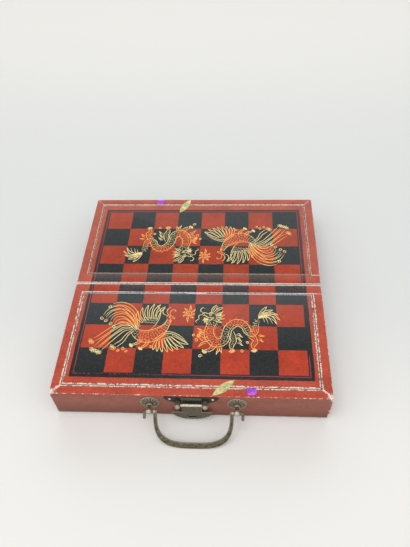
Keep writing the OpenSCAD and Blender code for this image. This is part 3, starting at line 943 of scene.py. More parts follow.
def loft(name: str, loops: Sequence[Sequence[Point]], closed: bool, capped: bool = False,
         material: bpy.types.Material | None = None) -> bpy.types.Object:
    """Joins loops of equal length into one surface.

    Args:
        name: The piece's name.
        loops: The loops, each a list of points in millimetres.
        closed: Whether the last loop joins the first.
        capped: Whether the first and last loops are filled.
        material: Its material.

    Returns:
        The object.
    """
    count = len(loops[0])
    points = [p for loop in loops for p in loop]
    faces = []
    for a in range(len(loops) if closed else len(loops) - 1):
        b = (a + 1) % len(loops)
        for k in range(count):
            n = (k + 1) % count
            faces.append((a * count + k, a * count + n, b * count + n, b * count + k))
    if capped:
        faces += [tuple(range(count)), tuple(range((len(loops) - 1) * count, len(loops) * count))]
    return mesh_object(name, points, faces, material)


def part_of(whole: bpy.types.Object, name: str, cuts: Iterable[tuple[Point, Point]]) -> bpy.types.Object:
    """Cuts a closed piece off a whole by planes.

    Args:
        whole: The closed mesh, which is kept.
        name: The new piece's name.
        cuts: For each plane, a point on it in millimetres and the direction that is cut away.

    Returns:
        The new piece, closed at its cuts.
    """
    bm = bmesh.new()
    bm.from_mesh(whole.data)
    for point, away in cuts:
        bmesh.ops.bisect_plane(bm, geom=[*bm.verts, *bm.edges, *bm.faces], dist=1e-7,
                               plane_co=Vector(point) * MM, plane_no=Vector(away), clear_outer=True)
        rim = [e for e in bm.edges if e.is_boundary]
        bmesh.ops.holes_fill(bm, edges=rim, sides=0)
    mesh = bpy.data.meshes.new(name)
    bm.to_mesh(mesh)
    bm.free()
    piece = finished(bpy.data.objects.new(name, mesh), None, True)
    for material in whole.data.materials:
        piece.data.materials.append(material)
    return soften(piece)


def gouge(piece: bpy.types.Object, cutters: Sequence[tuple[Point, Point]]) -> bpy.types.Object:
    """Cuts boxes out of a piece.

    Args:
        piece: The piece.
        cutters: Each box's lowest and highest corner in millimetres.

    Returns:
        The piece.
    """
    for low, high in cutters:
        corners = [(x, y, z) for x in (low[0], high[0]) for y in (low[1], high[1]) for z in (low[2], high[2])]
        faces = [(0, 1, 3, 2), (4, 6, 7, 5), (0, 4, 5, 1), (2, 3, 7, 6), (0, 2, 6, 4), (1, 5, 7, 3)]
        cutter = mesh_object("cutter", corners, faces, smooth=False)
        modifier = piece.modifiers.new("gouge", "BOOLEAN")
        modifier.operation, modifier.object, modifier.solver = "DIFFERENCE", cutter, "EXACT"
        bake(piece)
        bpy.data.objects.remove(cutter)
    return soften(piece)


def bake(piece: bpy.types.Object) -> bpy.types.Object:
    """Replaces a piece's mesh by what its modifiers make of it, and removes them.

    Args:
        piece: The piece.

    Returns:
        The piece.
    """
    bpy.context.view_layer.update()
    evaluated = piece.evaluated_get(bpy.context.evaluated_depsgraph_get())
    mesh = bpy.data.meshes.new_from_object(evaluated)
    piece.modifiers.clear()
    piece.data = mesh
    return piece


def carry(piece: bpy.types.Object, body: str, slot: str, *nodes: str) -> bpy.types.Object:
    """Makes a piece ride on a body, and hides the CAD nodes that it stands for.

    Args:
        piece: The piece.
        body: The body that it moves with.
        slot: Not used.
        nodes: The CAD nodes that it replaces.

    Returns:
        The piece.
    """
    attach(piece, body)
    if nodes:
        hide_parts(*nodes)
    LOG.info("%s rides on %s, %d faces", piece.name, body, len(piece.data.polygons))
    return piece


def clear_away(*pieces: bpy.types.Object) -> None:
    """Removes working meshes that are no pieces of the case."""
    for piece in pieces:
        bpy.data.objects.remove(piece)


@dataclass
class Tray:
    """One wooden tray: walls, mitred rails and the raised board panel."""

    side: Side
    lacquer: bpy.types.Material
    corner: float = 1.6
    arris: float = 0.55
    dent: float = 0.45
    lip: float = 0.35
    groove_w: float = 1.2
    tongue_z: float = TOP_Z - 3.5
    tongue_t: float = 2.0
    tongue_reach: float = 2.0
    inner_corner: float = 0.4
    rim_round: float = 0.3
    hinge_l: float = 30.0
    hinge_fit: float = 0.1
    leaf_t: float = 0.85
    seed: int = 4

    def chipped(self, steps: int) -> list[float]:
        """Draws the outer edge's radius along a walk, larger where the edge is chipped.

        Args:
            steps: The number of points.

        Returns:
            The radius at each point.
        """
        draw = random.Random(self.seed + self.side.value)
        radius, level = [], 0.0
        for _ in range(steps):
            level = 0.7 * level + 0.3 * draw.random() ** 3 * 3
            radius.append(self.arris + self.dent * min(level, 1.0))
        return radius

    def edge_loops(self, walk: Sequence[tuple[float, float, float, float]], radii: Sequence[float],
                   upward: bool, z: float) -> list[list[Point]]:
        """Gives the loops of a rounded outer edge, from the outer face inwards.

        Args:
            walk: The outline's points and directions.
            radii: The edge's radius at each point.
            upward: Whether the edge is a top edge.
            z: The height of the face that the edge meets.

        Returns:
            The loops.
        """
        sign = 1 if upward else -1
        loops = []
        for k in range(6):
            angle = math.radians(18 * k)
            loops.append([self.side.place(x - nx * r * (1 - math.cos(angle)),
                                          v - nv * r * (1 - math.cos(angle)),
                                          z - sign * r * (1 - math.sin(angle)))
                          for (x, v, nx, nv), r in zip(walk, radii)])
        return loops

    def level(self, outline: Outline, z: float, grow: float = 0.0) -> list[Point]:
        """Gives an outline's loop at one height, grown outwards."""
        return [self.side.place(x + nx * grow, v + nv * grow, z) for x, v, nx, nv in outline.walk()]

    def build_walls(self) -> None:
        """Makes the four walls from one rounded ring, and lets the hinge leaves into the back one."""
        outer = Outline(HALF_W, BACK_V, FRONT_V, self.corner)
        inner = Outline(HALF_W - WALL_T, BACK_V + WALL_T, FRONT_V - WALL_T, self.inner_corner)
        walk = outer.walk()
        radii = self.chipped(len(walk))
        loops = [self.level(outer, DECK_Z)] + self.edge_loops(walk, radii, False, RIM_Z)
        loops += [self.level(inner, RIM_Z, self.rim_round), self.level(inner, RIM_Z + self.rim_round),
                  self.level(inner, DECK_Z)]
        ring = loft("ring", loops, closed=True)
        front_v, back_v, inner_x = FRONT_V - WALL_T, BACK_V + WALL_T, HALF_W - WALL_T
        way = self.side.value
        cuts = {
            "front": [(self.side.place(0, front_v, 0), (0, -way, 0))],
            "back": [(self.side.place(0, back_v, 0), (0, way, 0))],
        }
        for word, hand in (("left", -1), ("right", 1)):
            cuts[word] = [(self.side.place(0, front_v, 0), (0, way, 0)),
                          (self.side.place(0, back_v, 0), (0, -way, 0)),
                          ((hand * inner_x * 0.5, 0, 0), (-hand, 0, 0))]
        for word, planes in cuts.items():
            node = f"{self.side.word}_{word}_wall"
            piece = part_of(ring, f"{node}_wood", planes)
            if word == "back":
                gouge(piece, [self.hinge_gain(hand) for hand in (-1, 1)])
            piece.data.materials.append(self.lacquer)
            carry(piece, self.side.body, "wall_lacquer", node)
        clear_away(ring)

    def hinge_gain(self, hand: int) -> tuple[Point, Point]:
        """Finds the recess that a hinge lies in.

        Args:
            hand: -1 for the left hinge, 1 for the right one.

        Returns:
            The recess's lowest and highest corner.
        """
        low, high = node_box(f"{self.side.word}_hinge_leaves")
        ends = sorted((high.x - self.hinge_l, high.x)) if hand > 0 else sorted((low.x, low.x + self.hinge_l))
        edges = sorted((self.side.place(0, BACK_V - 1, 0)[1],
                        self.side.place(0, max(self.side.value * (y - FOLD_Y) for y in (low.y, high.y)),
                                        0)[1]))
        return ((ends[0] - self.hinge_fit, edges[0] - self.hinge_fit, RIM_Z - 1),
                (ends[1] + self.hinge_fit, edges[1] + self.hinge_fit, RIM_Z + self.leaf_t))

    def build_rails(self) -> None:
        """Makes the four board rails from one rounded ring: mitred in front, butted at the fold."""
        outer = Outline(HALF_W, BACK_V, FRONT_V, self.corner)
        inner = Outline(HALF_W - SIDE_RAIL_W, FOLD_RAIL_V, FRONT_V - SIDE_RAIL_W, self.inner_corner)
        walk = outer.walk()
        loops = [self.level(outer, DECK_Z)]
        loops += self.edge_loops(walk, self.chipped(len(walk)), True, TOP_Z)
        for k in range(4):
            angle = math.radians(30 * k)
            loops.append(self.level(inner, TOP_Z - self.lip * (1 - math.cos(angle)),
                                    self.lip * (1 - math.sin(angle))))
        loops.append(self.level(inner, DECK_Z))
        ring = loft("ring", loops, closed=True)
        way = self.side.value
        corner_y = self.side.place(0, FRONT_V, 0)[1]
        fold_y = self.side.place(0, FOLD_RAIL_V, 0)[1]
        halfway = self.side.place(0, (FOLD_RAIL_V + FRONT_V) / 2, 0)
        mitres = [((hand * HALF_W, corner_y, 0), (hand, -way, 0)) for hand in (-1, 1)]
        cuts = {"front": [(halfway, (0, -way, 0)), *mitres], "back": [((0, fold_y, 0), (0, way, 0))]}
        for word, hand in (("left", -1), ("right", 1)):
            cuts[word] = [((0, fold_y, 0), (0, -way, 0)), ((hand * HALF_W, corner_y, 0), (-hand, way, 0)),
                          ((0, 0, 0), (-hand, 0, 0))]
        for word, planes in cuts.items():
            node = f"{self.side.word}_{word}_rail"
            piece = part_of(ring, f"{node}_wood", planes)
            piece.data.materials.append(self.lacquer)
            carry(piece, self.side.body, "board_lacquer", node)
        clear_away(ring)

    def build_panel(self) -> None:
        """Makes the board panel with its rounded lip and the tongue in the groove."""
        field_edge = Outline(HALF_W - SIDE_RAIL_W - self.groove_w, FOLD_RAIL_V + self.groove_w,
                             FRONT_V - SIDE_RAIL_W - self.groove_w, self.inner_corner)
        loops = []
        for k in range(4):
            angle = math.radians(30 * k)
            loops.append(self.level(field_edge, TOP_Z - self.lip * (1 - math.cos(angle)),
                                    -self.lip * (1 - math.sin(angle))))
        foot, upper, grow = self.tongue_z, self.tongue_z + self.tongue_t, self.groove_w + self.tongue_reach
        for z, out in ((upper, 0.0), (upper, grow), (foot, grow), (foot, 0.0), (DECK_Z, 0.0)):
            loops.append(self.level(field_edge, z, out))
        node = f"{self.side.word}_panel"
        piece = loft(f"{node}_wood", loops, closed=False, capped=True, material=self.lacquer)
        carry(soften(piece), self.side.body, "board_lacquer", node)

    def build(self) -> None:
        """Makes the whole tray."""
        self.build_walls()
        self.build_rails()
        self.build_panel()


# Geometry Nodes


@dataclass
class NodeRecipe:
    """One Geometry Nodes tree, with named inputs, that ends in realised geometry with its material."""

    name: str
    inputs: dict[str, tuple[str, object]]
    build: Callable[["NodeRecipe"], bpy.types.NodeSocket]

    def __post_init__(self) -> None:
        """Builds the tree."""
        self.tree = bpy.data.node_groups.new(self.name, "GeometryNodeTree")
        self.tree.interface.new_socket("Geometry", in_out="INPUT", socket_type="NodeSocketGeometry")
        self.ids = {}
        for label, (kind, value) in {**self.inputs, "Material": ("Material", None)}.items():
            socket = self.tree.interface.new_socket(label, in_out="INPUT", socket_type=f"NodeSocket{kind}")
            self.ids[label] = socket.identifier
            if value is not None:
                socket.default_value = value
        self.tree.interface.new_socket("Geometry", in_out="OUTPUT", socket_type="NodeSocketGeometry")
        self.entry = self.tree.nodes.new("NodeGroupInput").outputs
        realise = self.node("GeometryNodeRealizeInstances", self.build(self))
        dress = self.node("GeometryNodeSetMaterial", realise.outputs[0], Material=self.entry["Material"])
        self.node("NodeGroupOutput", dress.outputs[0])

    def node(self, kind: str, geometry: bpy.types.NodeSocket | None = None,
             settings: dict[str, object] | None = None, **inputs: object) -> bpy.types.Node:
        """Adds a node.

        Args:
            kind: Blender's name of the node.
            geometry: What its first input is joined to.
            settings: Its properties.
            inputs: Its other inputs by name, with an underscore for each space.

        Returns:
            The node.
        """
        node = self.tree.nodes.new(kind)
        for name, value in (settings or {}).items():
            setattr(node, name, value)
        if geometry is not None:
            self.tree.links.new(geometry, node.inputs[0])
        for name, value in inputs.items():
            socket = node.inputs[name.replace("_", " ")]
            if isinstance(value, bpy.types.NodeSocket):
                self.tree.links.new(value, socket)
            else:
                socket.default_value = value
        return node

    def run(self, piece: bpy.types.Object, **values: object) -> bpy.types.Object:
        """Runs the tree on a piece and makes the result its mesh.

        Args:
            piece: The object whose geometry goes in.
            values: The tree's inputs by name, with an underscore for each space.

        Returns:
            A mesh object of the same name.
        """
        modifier = piece.modifiers.new(self.name, "NODES")
        modifier.node_group = self.tree
        for name, value in values.items():
            modifier[self.ids[name.replace("_", " ")]] = value
        bpy.context.view_layer.update()
        mesh = bpy.data.meshes.new_from_object(piece.evaluated_get(bpy.context.evaluated_depsgraph_get()))
        name = piece.name
        bpy.data.objects.remove(piece)
        made = bpy.data.objects.new(name, mesh)
        bpy.context.scene.collection.objects.link(made)
        return made


def brush_strokes() -> NodeRecipe:
    """Sweeps a flat oval along each stroke of a drawing, as wide as the stroke's radius there.

    Returns:
        The tree.
    """

    def build(r: NodeRecipe) -> bpy.types.NodeSocket:
        """Wires the smoothed strokes and their section."""
        smooth = r.node("GeometryNodeCurveSplineType", r.entry["Geometry"], {"spline_type": "CATMULL_ROM"})
        fine = r.node("GeometryNodeSetSplineResolution", smooth.outputs[0], Resolution=r.entry["Steps"])
        level = r.node("GeometryNodeSetCurveNormal", fine.outputs[0], {"mode": "Z_UP"})
        size = r.node("ShaderNodeCombineXYZ", X=0.5, Y=r.entry["Height"], Z=1.0)
        ring = r.node("GeometryNodeCurvePrimitiveCircle", None, Resolution=6, Radius=1.0)
        oval = r.node("GeometryNodeTransform", ring.outputs[0], Scale=size.outputs[0])
        radius = r.node("GeometryNodeInputRadius")
        sweep = r.node("GeometryNodeCurveToMesh", level.outputs[0], Profile_Curve=oval.outputs[0],
                       Scale=radius.outputs[0], Fill_Caps=True)
        return sweep.outputs[0]

    return NodeRecipe("brush strokes", {"Steps": ("Int", 4), "Height": ("Float", 0.15)}, build)


def copies_at_points() -> NodeRecipe:
    """Puts a copy of a part at each point, turned by a seeded random angle.

    Returns:
        The tree.
    """

    def build(r: NodeRecipe) -> bpy.types.NodeSocket:
        """Wires the copies and their turns."""
        unit = r.node("GeometryNodeObjectInfo", None, Object=r.entry["Part"])
        spread = r.node("FunctionNodeRandomValue", None, {"data_type": "FLOAT_VECTOR"}, Seed=r.entry["Seed"])
        low = r.node("ShaderNodeVectorMath", None, {"operation": "SCALE"}, Scale=-1.0)
        r.tree.links.new(r.entry["Turn"], low.inputs[0])
        r.tree.links.new(low.outputs[0], spread.inputs[0])
        r.tree.links.new(r.entry["Turn"], spread.inputs[1])
        copies = r.node("GeometryNodeInstanceOnPoints", r.entry["Geometry"],
                        Instance=unit.outputs["Geometry"], Rotation=spread.outputs[0])
        return copies.outputs[0]

    return NodeRecipe("copies at points", {"Part": ("Object", None), "Turn": ("Vector", (0.0, 0.0, 0.0)),
                                           "Seed": ("Int", 3)}, build)


def copies(recipe: NodeRecipe, name: str, part: bpy.types.Object, points: Sequence[Point],
           material: bpy.types.Material, turn: Point = (0, 0, 0)) -> bpy.types.Object:
    """Makes one mesh of copies of a part at points.

    Args:
        recipe: The tree that makes the copies.
        name: The piece's name.
        part: The part, built round the origin, which is removed.
        points: The places, in millimetres.
        material: The copies' material.
        turn: The largest random turn about each axis, in radians.

    Returns:
        The piece.
    """
    made = recipe.run(mesh_object(name, points, []), Part=part, Turn=turn, Material=material)
    bpy.data.objects.remove(part)
    return soften(made)


# Rounded copies of the case's hardware


def mark_rubbed(piece: bpy.types.Object) -> bpy.types.Object:
    """Writes how far each point stands out on an edge, where fingers wear the metal bright and where a
    painted highlight is put.

    Args:
        piece: The piece.

    Returns:
        The piece.
    """
    bm = bmesh.new()
    bm.from_mesh(piece.data)
    rub = []
    for point in bm.verts:
        bends = [edge.calc_face_angle_signed(0.0) for edge in point.link_edges if edge.is_manifold]
        sharpest = max(bends, default=0.0)
        rub.append(min(max((sharpest - math.radians(14)) / math.radians(30), 0.0), 1.0))
    bm.free()
    layer = piece.data.attributes.new("rub", "FLOAT", "POINT")
    layer.data.foreach_set("value", rub)
    return piece


def cast_from(node: str, material: bpy.types.Material, bevel: float, segments: int = 2,
              shine: Callable[[Vector], float] | None = None) -> bpy.types.Object:
    """Copies a CAD node's mesh, joins its loose triangles and rounds its edges.

    Args:
        node: The node's name.
        material: The copy's material.
        bevel: The width of the rounding in millimetres.
        segments: The number of steps in it.
        shine: Gives the wear and painted highlight at a face's centre in millimetres, or, where negative, its
            painted shade.

    Returns:
        The copy.
    """
    bm = bmesh.new()
    bm.from_mesh(frame["nodes"][node].data)
    bmesh.ops.remove_doubles(bm, verts=bm.verts, dist=2e-6)
    bmesh.ops.dissolve_limit(bm, angle_limit=math.radians(0.5), verts=bm.verts, edges=bm.edges)
    rub = bm.faces.layers.float.new("rub")
    if bevel:
        edges = [e for e in bm.edges if e.is_manifold and e.calc_face_angle(0.0) > math.radians(32)]
        rounded = bmesh.ops.bevel(bm, geom=edges, offset=bevel * MM, segments=segments, profile=0.5,
                                  affect="EDGES", clamp_overlap=True)
        # The rounded edges are brightened for wear and for painted highlights
        for face in rounded["faces"]:
            face[rub] = 1.0
    # Each face takes the wear or painted highlight that shine gives, and a negative value, painted shade,
    # replaces it
    for face in bm.faces:
        values = {shine(point.co / MM) for point in face.verts} if shine else {0.0}
        value = values.pop() if len(values) == 1 else min(v for v in values if v >= 0)
        face[rub] = value if value < 0 else max(face[rub], value)
    mesh = bpy.data.meshes.new(f"{node}_cast")
    bm.to_mesh(mesh)
    bm.free()
    return soften(finished(bpy.data.objects.new(f"{node}_cast", mesh), material, True))


def tube(name: str, route: Sequence[tuple[Point, float]], material: bpy.types.Material,
         sides: int = 20) -> bpy.types.Object:
    """Sweeps a round section along a route that lies in one plane.

    Args:
        name: The piece's name.
        route: Its points in millimetres, each with its radius.
        material: The tube's material.
        sides: The number of sides.

    Returns:
        The tube, closed at both ends.
    """
    points = [Vector(p) for p, _ in route]
    flat = (points[1] - points[0]).cross(points[-1] - points[0])
    across = flat.normalized() if flat.length > 1e-6 else Vector((0, 0, 1))
    loops = []
    for k, (point, (_, radius)) in enumerate(zip(points, route)):
        way = (points[min(k + 1, len(points) - 1)] - points[max(k - 1, 0)]).normalized()
        side = way.cross(across).normalized()
        loops.append([tuple(point + radius * (math.cos(a) * side + math.sin(a) * across))
                      for a in (2 * math.pi * j / sides for j in range(sides))])
    return loft(name, loops, closed=False, capped=True, material=material)


def joined(name: str, *pieces: bpy.types.Object) -> bpy.types.Object:
    """Joins pieces of one material into one object.

    Args:
        name: The new object's name.
        pieces: The pieces, which are removed.

    Returns:
        The new object.
    """
    bm = bmesh.new()
    for piece in pieces:
        bm.from_mesh(piece.data)
    mesh = bpy.data.meshes.new(name)
    bm.to_mesh(mesh)
    bm.free()
    made = finished(bpy.data.objects.new(name, mesh), pieces[0].data.materials[0], True)
    clear_away(*pieces)
    return soften(made)


@dataclass
class Handle:
    """The bail handle with the two eyes and rosettes that carry it."""

    bronze: bpy.types.Material
    recipe: NodeRecipe
    half_w: float = 39.7
    length: float = 36.9
    leg_w: float = 3.7
    grip_w: float = 6.1
    thick: float = 2.6
    power: float = 3.2
    slide: float = 0.8
    pivot_r: float = 1.6
    stub_out: float = 5.1
    stub_l: float = 6.5
    bend: float = 1.6
    knuckle_r: float = 2.0
    tip_share: float = 0.94
    eye_spacing: float = 87.0
    bead_count: int = 16
    bead_r: float = 1.25
    rim_h: float = 0.8
    dome_h: float = 2.2
    collar_r: float = 3.1
    collar_h: float = 4.6
    flute: float = 0.22
    steps: int = 96

    def __post_init__(self) -> None:
        """Finds the pivot and the tilt at which the grip lies on the table."""
        pivot = Vector(next(j for j in frame["joints"] if j["name"] == "handle_swing")["pos_m"]) / MM
        self.x, self.v, self.z = pivot.x, FOLD_Y - pivot.y, pivot.z
        half = self.thick / 2
        self.tilt = math.asin((self.z - 0.05) / math.hypot(self.length, half)) - math.atan(half / self.length)
        self.rosette_r = (node_box("left_rosette")[1].x - node_box("left_rosette")[0].x) / 2

    def at(self, across: float, out: float, up: float) -> Point:
        """Turns a point of the handle, drawn flat, into the model's frame."""
        c, s = math.cos(self.tilt), math.sin(self.tilt)
        return Side.NEAR.place(self.x + self.slide + across, self.v + out * c + up * s,
                               self.z - out * s + up * c)

    def oval(self, a: float, b: float, t: float) -> tuple[float, float]:
        """Gives a point of the handle's curve, from its left end at 0 to its right end at 1."""
        c, s = math.cos(math.pi * t), math.sin(math.pi * t)
        return (-a * math.copysign(abs(c) ** (2 / self.power), c), b * max(s, 0.0) ** (2 / self.power))

    def band(self) -> bpy.types.Object:
        """Makes the grip and its legs, rounded in section.

        Returns:
            The band.
        """
        loops = []
        for k in range(self.steps + 1):
            t = 0.5 - 0.5 * math.cos(math.pi * k / self.steps) if k not in (0, self.steps) else k / self.steps
            outer = self.oval(self.half_w, self.length, t)
            inner = self.oval(self.half_w - self.leg_w, self.length - self.grip_w, t)
            loop = []
            for j in range(20):
                c, s = math.cos(math.pi * j / 10), math.sin(math.pi * j / 10)
                c, s = math.copysign(abs(c) ** 0.75, c), math.copysign(abs(s) ** 0.75, s)
                x, out = ((o + i) / 2 + (o - i) / 2 * c for o, i in zip(outer, inner))
                loop.append(self.at(x, out, self.thick / 2 * s))
            loops.append(loop)
        return loft("bail_band", loops, closed=False, capped=True, material=self.bronze)

    def pivot_rod(self, hand: int) -> bpy.types.Object:
        """Makes the rod that runs through an eye and turns down behind it.

        Args:
            hand: -1 for the left rod, 1 for the right one.

        Returns:
            The rod.
        """
        root, knee = self.half_w - self.leg_w, self.eye_spacing / 2 + self.stub_out
        bend, wide = self.bend, self.knuckle_r
        tip_r = self.tip_share * self.pivot_r
        route = [((hand * x, 0.0, 0.0), r)
                 for x, r in ((root + 0.1, wide - 0.1), (root + 0.4, wide), (self.half_w - 0.3, wide),
                              (self.half_w, wide - 0.25), (self.half_w + 0.4, self.pivot_r))]
        for k in range(7):
            angle = math.radians(15 * k)
            route.append(((hand * (knee - bend + bend * math.sin(angle)), bend * (1 - math.cos(angle)), 0.0),
                          self.pivot_r))
        route += [((hand * knee, bend + (self.stub_l - bend) * t, 0.0), tip_r * share)
                  for t, share in ((0.4, 0.97), (0.8, 1.0), (1.0, 1.0))]
        route += [((hand * knee, self.stub_l + tip_r * math.sin(a), 0.0), tip_r * math.cos(a))
                  for a in (0.45, 0.9, 1.25, 1.45)]
        return tube("pivot_rod", [(self.at(*p), r) for p, r in route], self.bronze)

    def build_bail(self) -> None:
        """Makes the whole bail."""
        bail = joined("bail_handle_forged", self.band(), *(self.pivot_rod(hand) for hand in (-1, 1)))
        mark_rubbed(bail)
        carry(bail, "handle", "aged_bronze", "bail_handle")

    def build_rosette(self, word: str, hand: int) -> None:
        """Makes a fluted rosette with beads round its rim.

        Args:
            word: The side's name.
            hand: -1 for the left rosette, 1 for the right one.
        """
        x = self.x + hand * self.eye_spacing / 2
        around = 4 * self.bead_count
        trough = self.rosette_r - 2 * self.bead_r

        def ring(radius: float, height: float, wave: float = 0.0) -> list[Point]:
            """Gives a ring round the eye's pin, with a wave for each bead."""
            loop = []
            for k in range(around):
                a = 2 * math.pi * k / around
                up = height + wave * math.cos(self.bead_count * a)
                loop.append(Side.NEAR.place(x + radius * math.cos(a), FRONT_V + up,
                                            self.z + radius * math.sin(a)))
            return loop

        loops = [ring(self.rosette_r, 0), ring(self.rosette_r, self.rim_h - 0.15),
                 ring(self.rosette_r - 0.15, self.rim_h), ring(trough + 0.1, self.rim_h)]
        for k in range(1, 7):
            t = math.radians(15 * k)
            radius = self.collar_r + 0.5 + (trough - self.collar_r - 0.5) * math.cos(t)
            dip = self.flute * math.sin(2 * t)
            loops.append(ring(radius, self.rim_h + (self.dome_h - self.rim_h) * math.sin(t) - dip, dip))
        loops += [ring(self.collar_r, self.dome_h), ring(self.collar_r, self.collar_h - 0.5),
                  ring(self.collar_r - 0.18, self.collar_h - 0.12), ring(self.collar_r - 0.5, self.collar_h),
                  ring(self.pivot_r + 0.1, self.collar_h)]
        disc = loft("disc", loops, closed=False, capped=True, material=self.bronze)
        bead = bmesh.new()
        bmesh.ops.create_uvsphere(bead, u_segments=12, v_segments=8, radius=self.bead_r * MM)
        mesh = bpy.data.meshes.new("bead")
        bead.to_mesh(mesh)
        bead.free()
        bead_at = self.rosette_r - self.bead_r
        places = [Side.NEAR.place(x + bead_at * math.cos(a), FRONT_V + self.rim_h,
                                  self.z + bead_at * math.sin(a))
                  for a in (2 * math.pi * k / self.bead_count for k in range(self.bead_count))]
        unit = finished(bpy.data.objects.new("bead", mesh), self.bronze, True)
        beads = copies(self.recipe, "beads", unit, places, self.bronze)
        piece = mark_rubbed(joined(f"{word}_rosette_chased", disc, beads))
        carry(piece, "near_tray", "aged_bronze", f"{word}_rosette")

    def build(self) -> None:
        """Makes the handle, its rosettes and its eyes."""
        self.build_bail()
        for word, hand in (("left", -1), ("right", 1)):
            self.build_rosette(word, hand)
            # Painted highlight on each eye's bulb beyond its collar
            pin = cast_from(f"{word}_eye_pin", self.bronze, 0.25,
                            shine=lambda spot: 0.9 if FOLD_Y - spot.y > FRONT_V + self.collar_h else 0.0)
            carry(pin, "near_tray", "aged_bronze", f"{word}_eye_pin")


@dataclass
class Clasp:
    """Clasp of the near tray and keeper of the far one."""

    bronze: bpy.types.Material
    blackened: bpy.types.Material
    recipe: NodeRecipe
    roll_r: float = 1.8
    slot_half: float = 4.4
    slot_high: float = 18.6
    slot_low: float = 23.4
    rib_pitch: float = 1.5
    rib_w: float = 0.95
    rib_h: float = 0.4
    rib_sides: int = 5
    rib_sunk: float = 0.02
    rib_end: float = 0.3
    rib_margin: float = 6.2
    rib_top: float = 1.2
    rib_foot: float = 1.0

    def build_ribs(self) -> None:
        """Makes the upright ribs on the plate between the posts."""
        low, high = node_box("clasp_plate")
        posts = node_box("clasp_posts")
        pin = node_box("clasp_pin")
        half = (posts[1].x - posts[0].x) / 2 - self.rib_margin
        centre = (low.x + high.x) / 2
        top, foot = high.z - self.rib_top, pin[0].z - self.rib_foot
        face = FRONT_V + (high.y - low.y)
        loops = []
        for z in (foot, foot + self.rib_end, top - self.rib_end, top):
            flat = 0.35 if z in (foot, top) else 1.0
            angles = [math.pi * k / self.rib_sides for k in range(self.rib_sides + 1)]
            loops.append([Side.NEAR.place(self.rib_w / 2 * math.cos(angle),
                                          self.rib_h * flat * math.sin(angle) - self.rib_sunk, z)
                          for angle in angles])
        unit = loft("rib", [[(x, y - FOLD_Y, z) for x, y, z in loop] for loop in loops], closed=False,
                    capped=True)
        count = int(2 * half / self.rib_pitch)
        places = [(centre + (k - count / 2) * self.rib_pitch, FOLD_Y - face, 0.0) for k in range(count + 1)]
        ribs = mark_rubbed(copies(self.recipe, "clasp_plate_ribs", unit, places, self.blackened))
        carry(ribs, "near_tray", "aged_bronze")

    def build(self) -> None:
        """Makes every piece of the clasp and keeper."""

        def on_roll(spot: Vector) -> float:
            """Paints shade in the flap's slot, and a highlight along the top of its roll."""
            out, up = spot.y - axis.y, spot.z - axis.z
            if abs(spot.x - axis.x) < self.slot_half + 0.1 and -self.slot_low < up < -self.slot_high:
                return -1.0
            return 1.0 if math.hypot(out, up) < self.roll_r + 0.3 and up > 0.2 * self.roll_r else 0.04

        axis = sum(node_box("clasp_pin"), Vector()) / 2
        face = node_box("clasp_posts")[0].y
        # Painted highlights on the post ends, the nails and the top of the roll, and painted shade in the
        # slot
        painted_lights = {"clasp_flap": on_roll, "clasp_posts": lambda spot: 0.6 if spot.y < face + 6 else 0.1,
                  "clasp_nails": lambda spot: 1.0, "keeper_nails": lambda spot: 1.0}
        pieces = (("clasp_plate", 0.3, "near_tray"), ("clasp_posts", 0.3, "near_tray"),
                  ("clasp_nails", 0.0, "near_tray"), ("clasp_pin", 0.2, "near_tray"),
                  ("clasp_flap", 0.35, "flap"), ("keeper_plate", 0.3, "far_tray"),
                  ("keeper_nails", 0.0, "far_tray"), ("keeper_pin", 0.2, "far_tray"),
                  ("keeper_tongue", 0.3, "tongue"))
        for node, bevel, body in pieces:
            metal = self.blackened if node == "clasp_plate" else self.bronze
            carry(cast_from(node, metal, bevel, shine=painted_lights.get(node)), body, "aged_bronze", node)
        self.build_ribs()


@dataclass
class Hinges:
    """The two strap hinges at the fold, with slotted screws."""

    brass: bpy.types.Material
    recipe: NodeRecipe
    spacing: float = 170.0
    pitch: float = 11.0
    head_r: float = 1.5
    shank_r: float = 0.8
    leaf_t: float = 0.8
    screw_l: float = 8.0
    slot_w: float = 0.45
    slot_deep: float = 0.4
    head_rim: float = 0.1
    thread_h: float = 0.22
    thread_from: float = 0.5
    thread_pitch: float = 0.35
    thread_rows: int = 18
    point_r: float = 0.15

    def screw(self) -> bpy.types.Object:
        """Makes one countersunk screw, head down, with its slot.

        Returns:
            The screw.
        """
        profile = [(self.head_r, 0.0), (self.head_r, self.head_rim), (self.shank_r, self.leaf_t)]
        for k in range(self.thread_rows):
            profile.append((self.shank_r - (self.thread_h if k % 2 else 0.0),
                            self.leaf_t + self.thread_from + self.thread_pitch * k))
        profile.append((self.point_r, self.screw_l))
        angles = [math.pi * k / 10 for k in range(20)]
        loops = [[(radius * math.cos(a), radius * math.sin(a), up) for a in angles] for radius, up in profile]
        slot = ((-2 * self.head_r, -self.slot_w / 2, -1.0),
                (2 * self.head_r, self.slot_w / 2, self.slot_deep))
        return gouge(loft("screw", loops, closed=False, capped=True), [slot])

    def build(self) -> None:
        """Makes the leaves, the pins and the screws."""
        for side in Side:
            node = f"{side.word}_hinge_leaves"
            carry(cast_from(node, self.brass, 0.12), side.body, "hinge_brass", node)
            screws = f"{side.word}_hinge_screws"
            low, high = node_box(screws)
            v = side.value * ((low.y + high.y) / 2 - FOLD_Y)
            places = [side.place(hand * self.spacing / 2 + k * self.pitch, v, low.z) for hand in (-1, 1)
                      for k in (-1, 0, 1)]
            piece = copies(self.recipe, f"{screws}_slotted", self.screw(), places, self.brass,
                           (0.0, 0.0, math.pi))
            carry(mark_rubbed(piece), side.body, "hinge_brass", screws)
        carry(cast_from("hinge_pins", self.brass, 0.1), "near_tray", "hinge_brass", "hinge_pins")


